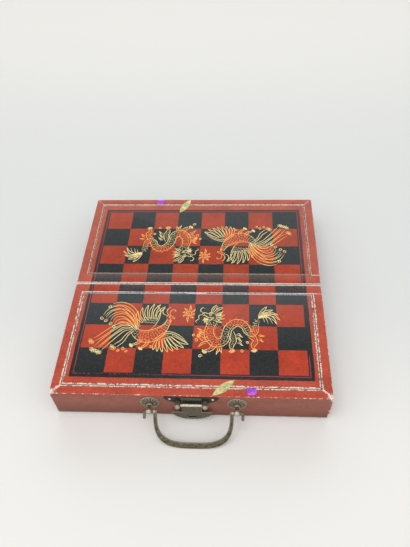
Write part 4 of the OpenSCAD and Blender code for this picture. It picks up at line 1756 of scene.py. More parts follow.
@dataclass
class Lining:
    """Silk lining of the trays: covered boards on the walls and a padded panel under the board."""

    silk: bpy.types.Material
    grid: float = 4.0
    frames: int = 20
    pressure: float = 3.0
    cap: float = 1.1
    inset: float = 1.2
    room_below: float = 0.9
    room_above: float = 0.2
    board_t: float = 1.5
    outer_corner: float = 0.3
    inner_corner: float = 0.8

    def soft_block(self, name: str, low: Vector, high: Vector) -> bpy.types.Object:
        """Makes a closed block of even quads, with rounded sides.

        Args:
            name: The block's name.
            low: Its lowest corner in millimetres.
            high: Its highest corner.

        Returns:
            The block.
        """
        counts = [max(int(round((high[k] - low[k]) / self.grid)), 2) for k in range(2)]
        points, faces, index = [], [], {}

        def point(i: int, j: int, level: int) -> int:
            """Gives a grid point's index, and makes the point if it is new."""
            key = (i, j, level)
            if key not in index:
                index[key] = len(points)
                points.append((low.x + (high.x - low.x) * i / counts[0],
                               low.y + (high.y - low.y) * j / counts[1],
                               (low.z, (low.z + high.z) / 2, high.z)[level]))
            return index[key]

        for i in range(counts[0]):
            for j in range(counts[1]):
                for level in (0, 2):
                    faces.append([point(i, j, level), point(i + 1, j, level), point(i + 1, j + 1, level),
                                  point(i, j + 1, level)])
        rim = [(i, 0) for i in range(counts[0])] + [(counts[0], j) for j in range(counts[1])]
        rim += [(counts[0] - i, counts[1]) for i in range(counts[0])]
        rim += [(0, counts[1] - j) for j in range(counts[1])]
        for a, b in zip(rim, rim[1:] + rim[:1]):
            for level in (0, 1):
                faces.append([point(*a, level), point(*b, level), point(*b, level + 1), point(*a, level + 1)])
        return mesh_object(name, points, faces)

    def swell(self, pad: bpy.types.Object, low: Vector, high: Vector) -> None:
        """Blows the pad up as cloth, and keeps it within its cap and its space.

        Args:
            pad: The pad.
            low: The lowest corner of its space in millimetres.
            high: The highest corner.
        """
        rest = [v.co.copy() for v in pad.data.vertices]
        cloth = pad.modifiers.new("cloth", "CLOTH")
        held = pad.vertex_groups.new(name="glued")
        held.add([v.index for v in pad.data.vertices if v.co.z > (high.z - 0.5) * MM], 1.0, "REPLACE")
        cloth.settings.vertex_group_mass = held.name
        cloth.settings.quality = 5
        cloth.settings.mass = 0.002
        cloth.settings.use_pressure = True
        cloth.settings.uniform_pressure_force = self.pressure
        cloth.settings.effector_weights.gravity = 0
        cloth.settings.shrink_min = -0.03
        scene = bpy.context.scene
        for step in range(1, self.frames + 1):
            scene.frame_set(step)
        evaluated = pad.evaluated_get(bpy.context.evaluated_depsgraph_get())
        moved = [v.co.copy() for v in evaluated.data.vertices]
        pad.modifiers.clear()
        scene.frame_set(1)
        for vertex, start, end in zip(pad.data.vertices, rest, moved):
            step = end - start
            if step.length > self.cap * MM:
                step *= self.cap * MM / step.length
            spot = start + step
            for k in range(3):
                spot[k] = min(max(spot[k], low[k] * MM), high[k] * MM)
            vertex.co = spot

    def build_pads(self) -> None:
        """Makes the padded panels: one is blown up, the other is its mirror image."""
        low, high = node_box("near_floor_pad")
        pad = self.soft_block("near_floor_pad_quilt", low + Vector((self.inset, self.inset, self.room_below)),
                              high - Vector((self.inset, self.inset, self.room_above)))
        self.swell(pad, low, high)
        pad.modifiers.new("smooth", "SUBSURF").levels = 1
        pad.modifiers["smooth"].render_levels = 1
        bake(pad)
        twin = bpy.data.objects.new("far_floor_pad_quilt", pad.data.copy())
        twin.data.transform(Matrix.Translation((0, 2 * FOLD_Y * MM, 0)) @ Matrix.Scale(-1, 4, (0, 1, 0)))
        finished(twin, None, True)
        for side, piece in ((Side.NEAR, pad), (Side.FAR, twin)):
            piece.data.materials.clear()
            piece.data.materials.append(self.silk)
            piece.data.polygons.foreach_set("use_smooth", [True] * len(piece.data.polygons))
            carry(piece, side.body, "lining_silk", f"{side.word}_floor_pad")

    def build_wall_boards(self) -> None:
        """Makes the covered boards along the walls, softly rounded where the silk turns over them."""
        for side in Side:
            node = f"{side.word}_wall_lining"
            low, high = node_box(node)
            back, front = sorted(side.value * (y - FOLD_Y) for y in (low.y, high.y))
            board = self.board_t
            outer = Outline(high.x, back, front, self.outer_corner)
            inner = Outline(high.x - board, back + board, front - board, self.inner_corner)
            loops = [[side.place(x, v, z) for x, v, _, _ in outer.walk()]
                     for z in (high.z, low.z + 0.5, low.z + 0.12)]
            loops[2] = [side.place(x - nx * 0.2, v - nv * 0.2, low.z + 0.12) for x, v, nx, nv in outer.walk()]
            for out, z in ((0.7, low.z), (0.2, low.z + 0.1), (0.0, low.z + 0.55), (-0.12, low.z + 8),
                           (-0.18, (low.z + high.z) / 2), (-0.12, high.z - 8), (0.0, high.z)):
                ripple = [0.05 * math.sin(0.9 * k) + 0.04 * math.sin(0.37 * k + 2) if 0 > out else 0.0
                          for k in range(len(inner.walk()))]
                loops.append([side.place(x + nx * (out + r), v + nv * (out + r), z)
                              for (x, v, nx, nv), r in zip(inner.walk(), ripple)])
            piece = loft(f"{node}_silk", loops, closed=True, material=self.silk)
            carry(piece, side.body, "lining_silk", node)

    def build(self) -> None:
        """Makes the whole lining."""
        self.build_pads()
        self.build_wall_boards()


@dataclass
class Stickers:
    """The foil leaves and violet tags stuck on the trays."""

    foil: bpy.types.Material
    violet: bpy.types.Material
    seed: int = 12
    rows: int = 28
    columns: int = 8
    bump_count: int = 9
    skin: float = 0.12

    def build_leaf(self, side: Side) -> None:
        """Makes a leaf of foil along the line between its CAD node's two tips.

        Args:
            side: The leaf's tray.
        """
        node = f"{side.word}_label"
        spots = [Vector(v.co) / MM for v in frame["nodes"][node].data.vertices]
        low, high = node_box(node)
        centre = (low + high) / 2
        tip = max(spots, key=lambda p: (p - centre).to_2d().length)
        along = (tip - centre).to_2d()
        half_l = along.length
        along.normalize()
        across = Vector((-along.y, along.x))
        half_w = max((p - centre).to_2d().dot(across) for p in spots)
        draw = random.Random(self.seed + side.value)
        rows, columns = self.rows, self.columns
        points, rim = [], []
        bumps = [(draw.uniform(-half_l, half_l), draw.uniform(-half_w, half_w), draw.uniform(0.02, 0.05))
                 for _ in range(self.bump_count)]
        for top in (True, False):
            for i in range(rows + 1):
                s = -1 + 2 * i / rows
                reach = half_w * (1 - s * s) * 0.985 + 0.02
                for j in range(columns + 1):
                    c = -1 + 2 * j / columns
                    a, b = s * half_l * 0.995, c * reach
                    lift = sum(h * math.exp(-((a - p) ** 2 + (b - q) ** 2) / 2.5) for p, q, h in bumps)
                    x, y = centre.x + along.x * a + across.x * b, centre.y + along.y * a + across.y * b
                    points.append((x, y, min(low.z + self.skin + lift, high.z) if top else low.z))
                    rim.append(max(abs(c), abs(s)) ** 2)
        width = columns + 1
        block = (rows + 1) * width
        faces = []
        for i in range(rows):
            for j in range(columns):
                a = i * width + j
                faces.append((a, a + 1, a + width + 1, a + width))
                faces.append((block + a, block + a + width, block + a + width + 1, block + a + 1))
        border = [i * width for i in range(rows + 1)] + [rows * width + j for j in range(1, width)]
        border += [i * width + columns for i in range(rows - 1, -1, -1)] + list(range(columns - 1, 0, -1))
        for a, b in zip(border, border[1:] + border[:1]):
            faces.append((a, b, block + b, block + a))
        piece = mesh_object(f"{node}_foil", points, faces, self.foil)
        piece.data.attributes.new("rim", "FLOAT", "POINT").data.foreach_set("value", rim)
        carry(soften(piece), side.body, "foil_label", node)

    def build(self) -> None:
        """Makes the four stickers."""
        for side in Side:
            self.build_leaf(side)
            node = f"{side.word}_tag"
            tag = cast_from(node, self.violet, 0.55, 3)
            carry(tag, side.body, "violet_tag", node)


# The gilt drawing


def flow(points: Sequence[Flat], steps: int) -> list[Flat]:
    """Walks a smooth curve through points.

    Args:
        points: The points that the curve goes through.
        steps: The number of steps from each point to the next.

    Returns:
        The points of the walk.
    """
    ends = [points[0], *points, points[-1]]
    walk = []
    for a, b, c, d in zip(ends, ends[1:], ends[2:], ends[3:]):
        for k in range(steps):
            t = k / steps
            walk.append(tuple(0.5 * (2 * q + (r - p) * t + (2 * p - 5 * q + 4 * r - s) * t ** 2
                                     + (3 * q - p - 3 * r + s) * t ** 3) for p, q, r, s in zip(a, b, c, d)))
    return [*walk, points[-1]]


def beside(root: Flat, tip: Flat, t: float, off: float) -> Flat:
    """Gives a point at a share of the way from root to tip, moved off to one side.

    Args:
        root: The start.
        tip: The end.
        t: The share of the way.
        off: The distance from the way.

    Returns:
        The point.
    """
    dx, dv = tip[0] - root[0], tip[1] - root[1]
    span = math.hypot(dx, dv)
    return (root[0] + dx * t - dv / span * off, root[1] + dv * t + dx / span * off)


@dataclass
class Spine:
    """The middle line of a body, neck or limb, with its half width along it."""

    points: Sequence[Flat]
    widths: Sequence[float]

    def __post_init__(self) -> None:
        """Walks the line once, and notes how far along it each step is."""
        self.walk = flow([(*p, w) for p, w in zip(self.points, self.widths)], 10)
        self.reach = [0.0]
        for a, b in zip(self.walk, self.walk[1:]):
            self.reach.append(self.reach[-1] + math.dist(a[:2], b[:2]))
        self.length = self.reach[-1]

    def at(self, along: float, across: float = 0.0) -> Flat:
        """Gives a point of the body.

        Args:
            along: The distance along the line.
            across: The distance from it in half widths, positive on the left of its way.

        Returns:
            The point.
        """
        along = min(max(along, 0.0), self.length)
        k = next((k for k in range(1, len(self.reach) - 1) if self.reach[k] >= along), len(self.reach) - 1)
        a, b = self.walk[k - 1], self.walk[k]
        span = max(self.reach[k] - self.reach[k - 1], 1e-6)
        t = (along - self.reach[k - 1]) / span
        x, v, w = (p + (q - p) * t for p, q in zip(a, b))
        way = ((b[0] - a[0]) / span, (b[1] - a[1]) / span)
        return (x + way[1] * w * across, v - way[0] * w * across)


@dataclass
class Ink:
    """Collects the strokes of a drawing: each a list of points with the brush's width there."""

    strokes: list[list[tuple[float, float, float]]] = field(default_factory=list)
    line: float = 0.86
    fine: float = 0.5

    def draw(self, *points: Flat, width: float | None = None, start: float = 0.5, end: float = 0.3) -> None:
        """Draws a stroke, thinner at its ends.

        Args:
            points: The points that it goes through.
            width: The brush's width.
            start: The share of it at the first point.
            end: The share of it at the last point.
        """
        width = width or self.line
        last = len(points) - 1
        self.strokes.append([(*p, width * min(1.0, start + 4 * k / last, end + 3 * (last - k) / last))
                             for k, p in enumerate(points)])

    def motif(self, at: Flat, turn: float, size: float, *strokes: Sequence[Flat],
              width: float | None = None) -> None:
        """Draws a motif's strokes.

        Args:
            at: The motif's place.
            turn: Its turn in degrees.
            size: Its scale.
            strokes: Its strokes, each a list of points round the origin.
            width: The brush's width.
        """
        c, s = size * math.cos(math.radians(turn)), size * math.sin(math.radians(turn))
        for stroke in strokes:
            self.draw(*((at[0] + c * x - s * v, at[1] + s * x + c * v) for x, v in stroke), width=width)

    def edges(self, spine: Spine, steps: int) -> None:
        """Draws both edges of a body, neck, limb or plume."""
        for across in (1.0, -1.0):
            self.draw(*(spine.at(spine.length * k / steps, across) for k in range(steps + 1)))

    def body(self, spine: Spine, pitch: float, rows: int, belly: float = -0.45, fins: float = 0.0) -> None:
        """Draws a scaled body: both edges, belly bands, rows of scales and fins along the back.

        Args:
            spine: The body's middle line.
            pitch: The distance from one row across to the next.
            rows: The number of scales in a row.
            belly: Where the belly bands end, in half widths.
            fins: The height of the fins, or 0 for none.
        """
        count = max(int(spine.length / 5), 4)
        marks = [spine.length * k / count for k in range(count + 1)]
        for across in (1.0, -1.0, belly):
            self.draw(*(spine.at(s, across) for s in marks),
                      width=self.line if abs(across) == 1 else self.fine)
        for k in range(int(spine.length / pitch)):
            s = k * pitch
            self.draw(spine.at(s, belly), spine.at(s + 0.5, (belly - 1) / 2), spine.at(s, -0.98),
                      width=self.fine)
            for row in range(rows):
                low = belly + (1 - belly) * (row + 0.5 * (k % 2)) / rows
                high = low + (1 - belly) / rows
                if high < 1.05:
                    self.draw(spine.at(s, low), spine.at(s + 0.75 * pitch, low * 0.7 + high * 0.3),
                              spine.at(s + 0.75 * pitch, low * 0.3 + high * 0.7), spine.at(s, high),
                              width=self.fine)
        if fins:
            for k in range(1, int(spine.length / 4)):
                x, v = spine.at(4 * k + 1.2, 1.0)
                p, q = spine.at(4 * k, 1.0), spine.at(4 * k, 0.0)
                out = math.dist(p, q)
                tip = (x + (p[0] - q[0]) / out * fins, v + (p[1] - q[1]) / out * fins)
                self.draw(p, tip, spine.at(4 * k + 2.4, 1.0), width=self.fine)

    def feather(self, root: Flat, tip: Flat, bend: float, width: float) -> None:
        """Draws a long feather.

        Args:
            root: Where it grows.
            tip: Its end.
            bend: How far it bends to one side.
            width: Its half width.
        """
        for side in (-1.0, 1.0):
            points = []
            for t in (0.0, 0.25, 0.5, 0.75, 0.92, 1.0):
                swell = math.sin(math.pi * min(1.0, t * 0.93 + 0.07)) ** 0.7
                points.append(beside(root, tip, t, bend * math.sin(math.pi * t) + side * width * swell))
            self.draw(*points, end=0.6, start=0.6)

    def flame(self, root: Flat, tip: Flat, bend: float, width: float) -> None:
        """Draws a flame lick that swells and hooks at its tip.

        Args:
            root: Where it rises.
            tip: Its end.
            bend: How far it bends to one side.
            width: Its half width.
        """
        full = width * 0.9
        for edge in (((0, -width), (0.3, -width + bend * 0.9), (0.65, bend * 0.3 - width * 0.2), (1, 0)),
                     ((0, width * 0.6), (0.3, full + bend), (0.6, full + bend * 0.5), (1, 0))):
            self.draw(*(beside(root, tip, t, off) for t, off in edge))

    def curl(self, centre: Flat, radius: float, start: float, turns: float, hand: int = 1) -> None:
        """Draws a spiral from its outer end inwards.

        Args:
            centre: Its centre.
            radius: Its outer radius.
            start: The direction of its outer end in degrees.
            turns: Its number of turns.
            hand: 1 or -1, the way that it turns.
        """
        steps = max(int(8 * turns), 5)
        points = []
        for k in range(steps + 1):
            t = k / steps
            angle = math.radians(start + hand * 360 * turns * t)
            r = radius * (1 - 0.82 * t)
            points.append((centre[0] + r * math.cos(angle), centre[1] + r * math.sin(angle)))
        self.draw(*points)

    def claw(self, at: Flat, turn: float, size: float, toes: int = 4) -> None:
        """Draws a paw with hooked talons.

        Args:
            at: Its place.
            turn: The direction that it points in, in degrees.
            size: Its scale.
            toes: Its number of talons.
        """
        for k in range(toes):
            a = turn + (k - (toes - 1) / 2) * 38
            self.motif(at, a, size, [(0.4, -0.5), (1.6, -1.0), (2.9, -0.6), (3.9, 0.7)],
                       [(0.4, 0.5), (1.7, 0.1), (2.8, 0.3), (3.9, 0.7)])
        self.motif(at, turn, size, [(0.6, -1.3), (-0.9, -0.9), (-1.1, 0.6), (0.4, 1.4)])

    def limb(self, *points: Flat, thick: float, foot: float, size: float = 1.0) -> None:
        """Draws a scaled leg that ends in a claw.

        Args:
            points: The leg's middle line.
            thick: Its half width at the hip.
            foot: The direction of its claw in degrees.
            size: The claw's scale.
        """
        taper = [thick * (1 - 0.55 * k / (len(points) - 1)) for k in range(len(points))]
        spine = Spine(points, taper)
        self.edges(spine, 4)
        for k in range(1, int(spine.length / 2)):
            self.draw(spine.at(2 * k, -0.7), spine.at(2 * k + 0.9, 0.0), spine.at(2 * k, 0.7),
                      width=self.fine)
        self.claw(points[-1], foot, size)


def draw_dragon(ink: Ink) -> None:
    """Draws a dragon that looks back over its coils, with a brush tail.

    Args:
        ink: Collects the strokes.
    """
    coil = Spine([(23, 50), (17.5, 60), (17, 72), (25, 81), (33.5, 76), (36.5, 63), (45, 54.5), (54, 58),
                  (59, 68.5), (65.5, 66.5), (67, 56), (70, 47)],
                 [3.6, 4.4, 5.2, 5.2, 4.6, 4.6, 4.6, 4.2, 3.4, 2.9, 2.3, 1.4])
    ink.body(coil, pitch=3.0, rows=2, fins=2.0)
    # Brush of the tail
    for tip, bend in (((89, 56), -6.5), ((92.5, 50.5), -6.2), ((90.5, 43.5), -4.4), ((85, 37), -2.6),
                      ((78.5, 32.5), -1.0)):
        ink.feather((69.5, 48), tip, bend, 1.6)
    for tip in ((85, 57), (80, 56.5), (76, 54.5)):
        ink.draw((70, 48.5), (70.5 + 0.2 * (tip[0] - 70), 45), (70 + 0.7 * (tip[0] - 70), 47.5), tip)
    # Head, seen from the side and looking left
    head = (19.5, 45.5)
    ink.motif(head, 4, 1.2, [(2.5, -1.8), (-1.5, -3.0), (-4.5, -1.9), (-7, -3.0), (-9.3, -1.6), (-9.0, 0.5)],
              [(-9.0, 0.5), (-6.5, 0.5), (-4, 2.0), (-0.5, 2.4), (1.8, 1.2)],
              [(1.8, 1.6), (-0.5, 4.6), (-4.5, 4.8), (-7.6, 3.2), (-6.2, 2.4)],
              [(-8.2, -1.9), (-7.4, -0.9), (-8.4, -0.4)],
              [(-0.4, -0.9), (-1.6, -1.8), (-2.8, -0.8), (-1.6, 0.1), (-0.4, -0.9)],
              [(-3.6, -2.2), (-1.5, -3.9), (1.2, -3.2)], [(-5.6, 0.8), (-5.2, 1.9), (-4.6, 1.2)],
              [(0.5, -3.3), (2.2, -6.5), (5.8, -9.5), (9.5, -10.2)],
              [(1.9, -2.7), (4.2, -5.8), (6.9, -8.0), (9.5, -10.2)], [(3.2, -7.0), (3.0, -9.5), (4.4, -11.6)],
              [(-1.4, -3.6), (-1.4, -7.2), (0.4, -10.6), (3.0, -13)],
              [(-0.4, -3.5), (0.2, -7.0), (1.6, -10), (3.0, -13)],
              [(-9.4, -0.6), (-12.4, 1.0), (-12.0, 4.6), (-14.6, 7.2), (-13.0, 9.4)],
              [(-8.6, -2.4), (-11.6, -4.8), (-10.0, -8.4), (-7.6, -7.2)],
              [(2.6, -1.2), (5.4, -3.6), (8.2, -3.6), (5.2, -0.8), (2.8, -0.4)])
    for tip, bend in (((31.5, 38.5), 1.6), ((33.5, 43.5), 1.6), ((33.5, 49), 1.4), ((31, 55), 1.2)):
        ink.flame((23, 45.5 + (tip[1] - 39.5) * 0.25), tip, bend, 1.2)
    for tip in ((13.5, 57.5), (10.5, 55.5), (8.5, 52.5)):
        ink.flame((14.6, 49.3), tip, 1.0, 0.7)
    # Legs with their claws
    ink.limb((18, 74), (11.5, 77), (7, 72), thick=3.0, foot=205, size=0.95)
    ink.limb((23, 82), (19, 89), (13.5, 90.5), thick=2.8, foot=140, size=0.95)
    ink.limb((39, 67), (43, 77), (40, 85), (41, 89), thick=3.6, foot=80, size=1.05)
    ink.limb((60, 70), (66, 77), (62.5, 84), (64, 88), thick=3.2, foot=85, size=1.0)
    # Flames at the shoulders and hips, and small clouds
    for root, tip, bend in (((13.5, 80.5), (5.5, 86.5), 1.4), ((12, 66), (3, 62), -1.4),
                            ((12.2, 69), (4, 66.6), -1.0), ((45.5, 70), (53, 73.5), -1.6),
                            ((45, 74), (52, 79), -1.6), ((69, 72.5), (76, 71), -1.5),
                            ((68.5, 76), (74.5, 79), -1.4), ((47, 80), (53, 84), -1.2),
                            ((30, 86), (31, 93.5), 1.2), ((26.5, 87), (25, 95.5), -1.2)):
        ink.flame(root, tip, bend, 1.0)
    for centre, radius, start, hand in (((3.5, 77.5), 2.2, 200, 1), ((8.5, 97), 2.2, 20, -1),
                                        ((51.5, 90.5), 2.0, 180, 1), ((57, 79.5), 1.8, 90, -1),
                                        ((0.5, 71), 1.6, 90, 1)):
        ink.curl(centre, radius, start, 1.3, hand)


def draw_phoenix(ink: Ink) -> None:
    """Draws a phoenix with one wing raised, the other spread, and long plumes.

    Args:
        ink: Collects the strokes.
    """
    body = Spine([(-27.5, 51), (-30, 59), (-37, 68), (-47.5, 73.5), (-58, 71.5), (-67, 63)],
                 [2.0, 3.2, 6.2, 7.8, 6.2, 2.8])
    ink.body(body, pitch=3.0, rows=3, belly=-0.7)
    ink.motif((-27, 48), 8, 1.15, [(1.5, -1.0), (3.8, -0.6), (5.6, 1.9)],
              [(1.5, 0.8), (3.4, 0.9), (5.6, 1.9)], [(1.5, -1.0), (0, -2.3), (-2.4, -1.7), (-3.2, 1.2)],
              [(1.5, 0.8), (0.8, 2.6), (0.4, 4.4)], [(0.7, 0), (0, -0.7), (-0.7, 0), (0, 0.7), (0.7, 0)],
              [(1, 2.4), (2.4, 4.0), (1.6, 6.0), (0.4, 4.6)],
              [(-0.4, -2.3), (-0.8, -6), (1.4, -9), (4.2, -8.2), (3.2, -6.2)],
              [(-1.6, -2.1), (-4.2, -5.4), (-3.6, -9.6), (-0.8, -12)],
              [(-2.6, -1.2), (-7.0, -2.8), (-8.2, -7.0), (-6.0, -10)])
    # Wing spread forwards: its leading edge, coverts and flight feathers
    ink.draw((-43, 79), (-36, 72.5), (-29, 67.5), (-21, 68.5), (-12, 74), (-4.5, 83))
    ink.draw((-41, 80.5), (-35, 74.5), (-28.5, 69.8), (-21, 70.8), (-12.5, 76), (-4.5, 83))
    tips = [(-4.5, 83), (-9, 87.5), (-14.5, 90), (-20, 91.8), (-25.5, 93), (-31, 93.2), (-36.5, 92.4),
            (-41, 90.5)]
    for k, tip in enumerate(tips):
        root = (-23 - 2.3 * k, 72.6 + 0.9 * k)
        ink.feather(root, tip, 1.0 - 0.1 * k, 1.75 - 0.05 * k)
    for row, count in ((0, 7), (1, 6)):
        for k in range(count):
            x, v = -27.5 - 2.4 * k + row, 70.4 + 0.9 * k + 2.2 * row - 0.4
            ink.draw((x - 1.3, v), (x - 0.5, v + 1.9), (x + 0.8, v + 1.7), (x + 1.3, v - 0.4), width=ink.fine)
    # Wing raised behind the back
    ink.draw((-47, 66), (-41.5, 58), (-38, 48), (-38.5, 38), (-44, 31))
    for k in range(6):
        angle = math.radians(250 + 9.5 * k)
        reach = 33 - 1.0 * abs(k - 3.5) ** 1.6
        root = (-53 + 1.4 * k, 64 - 0.5 * k)
        ink.feather((root[0] + 0.34 * reach * math.cos(angle), root[1] + 0.34 * reach * math.sin(angle)),
                    (root[0] + reach * math.cos(angle) - 1.5, root[1] + reach * math.sin(angle)), -2.6, 1.5)
    for row in range(3):
        for k in range(5):
            x, v = -55 + 3.1 * k + row * 0.7, 57 - 3.0 * row + 0.3 * k
            ink.draw((x - 1.5, v), (x - 0.9, v - 2.1), (x + 0.9, v - 2.1), (x + 1.5, v), width=ink.fine)
    # Plumes that arch over the back and fall behind it
    arches = [((-60, 66), (-66, 50), (-78, 40), (-90, 42), (-97, 52)),
              ((-61, 65), (-69, 47), (-82, 35.5), (-95, 39), (-101, 49)),
              ((-62, 64), (-70, 52), (-79, 46), (-87, 48), (-91, 56)),
              ((-63, 65), (-71, 56.5), (-77, 53), (-83, 54.5), (-86, 60)),
              ((-59, 62), (-64, 44), (-74, 33), (-86, 30), (-95, 33))]
    for k, route in enumerate(arches):
        plume = Spine(route, [0.6, 1.5, 2.0, 1.9, 1.1])
        ink.edges(plume, 5)
        for j in range(2, int(plume.length / 4)):
            s = 4.0 * j
            ink.draw(plume.at(s, 0.0), plume.at(s + 1.6, 0.95), width=ink.fine)
            ink.draw(plume.at(s, 0.0), plume.at(s + 1.6, -0.95), width=ink.fine)
        ink.curl((route[-1][0] - 0.4, route[-1][1] + 1.6), 2.3, 270, 1.25, -1 if k % 2 else 1)
    trails = [((-66, 62), (-76, 61), (-86, 69), (-96, 80), (-104, 90)),
              ((-66, 64), (-75, 66), (-83.5, 74), (-92, 84), (-98, 92.5)),
              ((-66, 61), (-77, 56.5), (-88, 63.5), (-98, 73), (-107, 80)),
              ((-65, 66), (-71, 72), (-75, 80), (-83, 87))]
    for route in trails:
        plume = Spine(route, [0.9, 1.3, 1.9, 2.2, 1.7][:len(route)])
        ink.edges(plume, 5)
        end, before = plume.at(plume.length), plume.at(plume.length - 3)
        angle = math.degrees(math.atan2(end[1] - before[1], end[0] - before[0]))
        for turn in (-62, -20, 24, 62):
            ink.motif(end, angle + turn, 1.0, [(0, -0.6), (2.4, -1.6), (5.2, 0.6)],
                      [(0, 0.5), (2.6, 0.7), (5.2, 0.6)])
    # Feet drawn up under the body, with a few curls of cloud
    ink.limb((-54, 76), (-58, 82), (-64, 84.5), thick=1.8, foot=150, size=0.85)
    ink.limb((-48, 77), (-49, 84), (-54, 88), thick=1.8, foot=130, size=0.85)
    for centre, radius, start, hand in (((-73, 89), 2.2, 0, 1), ((-78, 91.5), 1.8, 180, -1),
                                        ((-44, 87), 1.8, 200, 1), ((-69, 92.5), 1.6, 90, 1)):
        ink.curl(centre, radius, start, 1.3, hand)


def draw_pearl(ink: Ink) -> None:
    """Draws the flaming pearl between the two.

    Args:
        ink: Collects the strokes.
    """
    at = (-6.5, 43)
    ring = [(at[0] + 3 * math.cos(math.radians(a)), at[1] + 3 * math.sin(math.radians(a)))
            for a in range(0, 361, 45)]
    ink.draw(*ring, start=1, end=1)
    ink.curl(at, 2.0, 40, 1.2)
    for turn, reach in ((190, 7.5), (232, 9.5), (275, 12.5), (318, 9.5), (145, 8.0), (92, 12.0), (45, 8.5),
                        (0, 7.0)):
        c, s = math.cos(math.radians(turn)), math.sin(math.radians(turn))
        ink.flame((at[0] + 3.4 * c, at[1] + 3.4 * s), (at[0] + reach * c, at[1] + reach * s), 1.0, 0.8)


@dataclass
class GoldArtwork:
    """The gilt drawing on each tray: phoenix, flaming pearl and dragon."""

    paint: bpy.types.Material
    recipe: NodeRecipe
    height: float = 0.14
    sunk: float = 0.05

    def build(self, side: Side) -> None:
        """Draws the figures on a tray, upright for whoever sits at its front.

        Args:
            side: The tray.
        """
        ink = Ink()
        for figure in (draw_phoenix, draw_pearl, draw_dragon):
            figure(ink)
        curve = bpy.data.curves.new("strokes", "CURVE")
        curve.dimensions = "3D"
        for stroke in ink.strokes:
            spline = curve.splines.new("POLY")
            spline.points.add(len(stroke) - 1)
            for point, (x, v, width) in zip(spline.points, stroke):
                x, y, z = side.place(-side.value * x, v, TOP_Z - self.sunk)
                point.co = (x * MM, y * MM, z * MM, 1.0)
                point.radius = width * MM
        piece = bpy.data.objects.new(f"{side.word}_gilt_drawing", curve)
        bpy.context.scene.collection.objects.link(piece)
        # The section is as wide as the stroke, so its height is a share of that
        piece = self.recipe.run(piece, Height=self.height / Ink.line, Steps=3, Material=self.paint)
        piece.data.polygons.foreach_set("use_smooth", [True] * len(piece.data.polygons))
        carry(piece, side.body, "board_lacquer")


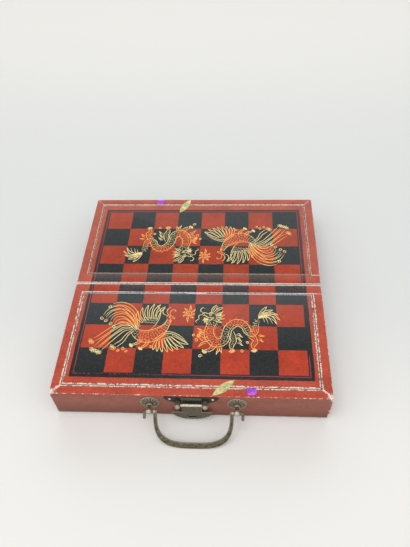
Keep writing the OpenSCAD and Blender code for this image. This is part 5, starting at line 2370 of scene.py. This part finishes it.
@dataclass
class Studio:
    """Floor, soft lamps and the camera at the photograph's place."""

    camera_at: Point = (49.93, -403.66, 527.46)
    right: Point = (0.997888, 0.047344, -0.044478)
    down: Point = (0.006881, -0.757895, -0.652341)
    ahead: Point = (-0.064594, 0.650657, -0.756620)
    focal_px: float = 554.10
    long_side_px: float = 547.0
    floor_colour: Colour = srgb(231, 230, 228)
    floor_dip: Colour = srgb(216, 218, 219)
    warm: Colour = (1.0, 0.985, 0.96)
    cool: Colour = (0.95, 1.0, 0.97)
    sky: float = 0.18
    window: float = 1.85
    room: float = 0.98
    key: float = 4.0
    key_at: Point = (-150, -300, 1400)
    key_to: Point = (0, 60, 0)
    key_size: float = 900.0
    floor_half: float = 4000.0

    def build_camera(self) -> None:
        """Puts the camera where the fitted view has it."""
        data = bpy.data.cameras.new("camera")
        data.sensor_width = 36.0
        data.sensor_fit = "AUTO"
        data.lens = self.focal_px / self.long_side_px * data.sensor_width
        data.clip_start, data.clip_end = 0.01, 50.0
        camera = bpy.data.objects.new("camera", data)
        bpy.context.scene.collection.objects.link(camera)
        up, back = -Vector(self.down), -Vector(self.ahead)
        columns = (Vector(self.right), up, back)
        turn = Matrix([[column[k] for column in columns] for k in range(3)]).to_4x4()
        x, y, z = self.camera_at
        camera.matrix_world = Matrix.Translation(Vector((x, y + FOLD_Y, z)) * MM) @ turn
        bpy.context.scene.camera = camera

    def build_floor(self) -> None:
        """Lays the pale floor, with a band of painted shade across its middle, about the case."""
        material, w, shader = new_material("studio_floor")
        y = w.split(w.place())[1]
        # Painted shade: the floor is darker in a band across the middle
        dip = w.fade(y, -230.0, 60.0) * w.fade(y, 760.0, 200.0)
        w.fill(shader, Base_Color=w.mix(dip, self.floor_colour, self.floor_dip), Roughness=0.75)
        half = self.floor_half
        floor = mesh_object("studio_floor", [(-half, -half, 0), (half, -half, 0), (half, half, 0),
                                             (-half, half, 0)], [(0, 1, 2, 3)], material, smooth=False)

    def build_lamps(self) -> None:
        """Lights the case from all round, and a little more from above and behind."""
        world = bpy.data.worlds.new("studio")
        world.use_nodes = True
        w = Wiring(world.node_tree)
        ahead = w.split(w.out("ShaderNodeTexCoord", "Generated"))[1]
        beyond, behind = w.fade(ahead, 0.54, 0.84), w.fade(ahead, 0.4, -0.05)
        w.fill(world.node_tree.nodes["Background"], Color=w.mix(beyond, self.warm, self.cool),
               Strength=self.sky + (beyond * self.window + behind * self.room))
        bpy.context.scene.world = world
        data = bpy.data.lights.new("key", "AREA")
        data.shape, data.size, data.energy = "DISK", self.key_size * MM, self.key
        lamp = bpy.data.objects.new("key", data)
        bpy.context.scene.collection.objects.link(lamp)
        turn = (Vector(self.key_to) - Vector(self.key_at)).to_track_quat("-Z", "Y").to_matrix().to_4x4()
        lamp.matrix_world = Matrix.Translation(Vector(self.key_at) * MM) @ turn

    def build(self) -> None:
        """Sets the scene."""
        bpy.context.scene.view_settings.view_transform = "Standard"
        self.build_camera()
        self.build_floor()
        self.build_lamps()


def main() -> None:
    """Builds the studio and the case, sub-assembly by sub-assembly."""
    logging.basicConfig(level=logging.INFO, format="%(name)s: %(message)s")
    Studio().build()
    lacquer = CaseLacquer().material("case_lacquer")
    bronze = AgedMetal().material("aged_bronze")
    brass = AgedMetal(srgb(150, 122, 66), srgb(84, 66, 36), srgb(206, 184, 122),
                      srgb(120, 110, 70)).material("hinge_brass")
    silk = OldSilk().material("lining_silk")
    gold = GoldPaint().material("gold_paint", Chequer().group())
    repeat = copies_at_points()
    brush = brush_strokes()
    for side in Side:
        Tray(side, lacquer).build()
        GoldArtwork(gold, brush).build(side)
    Handle(bronze, repeat).build()
    blackened = AgedMetal(srgb(58, 62, 52), srgb(22, 24, 20), srgb(150, 152, 134),
                          srgb(64, 84, 70)).material("dark_bronze")
    Clasp(bronze, blackened, repeat).build()
    Hinges(brass, repeat).build()
    Lining(silk).build()
    Stickers(StickerFoil().material("foil_label"), VioletPaper().material("violet_tag")).build()


if __name__ == "__main__":
    main()
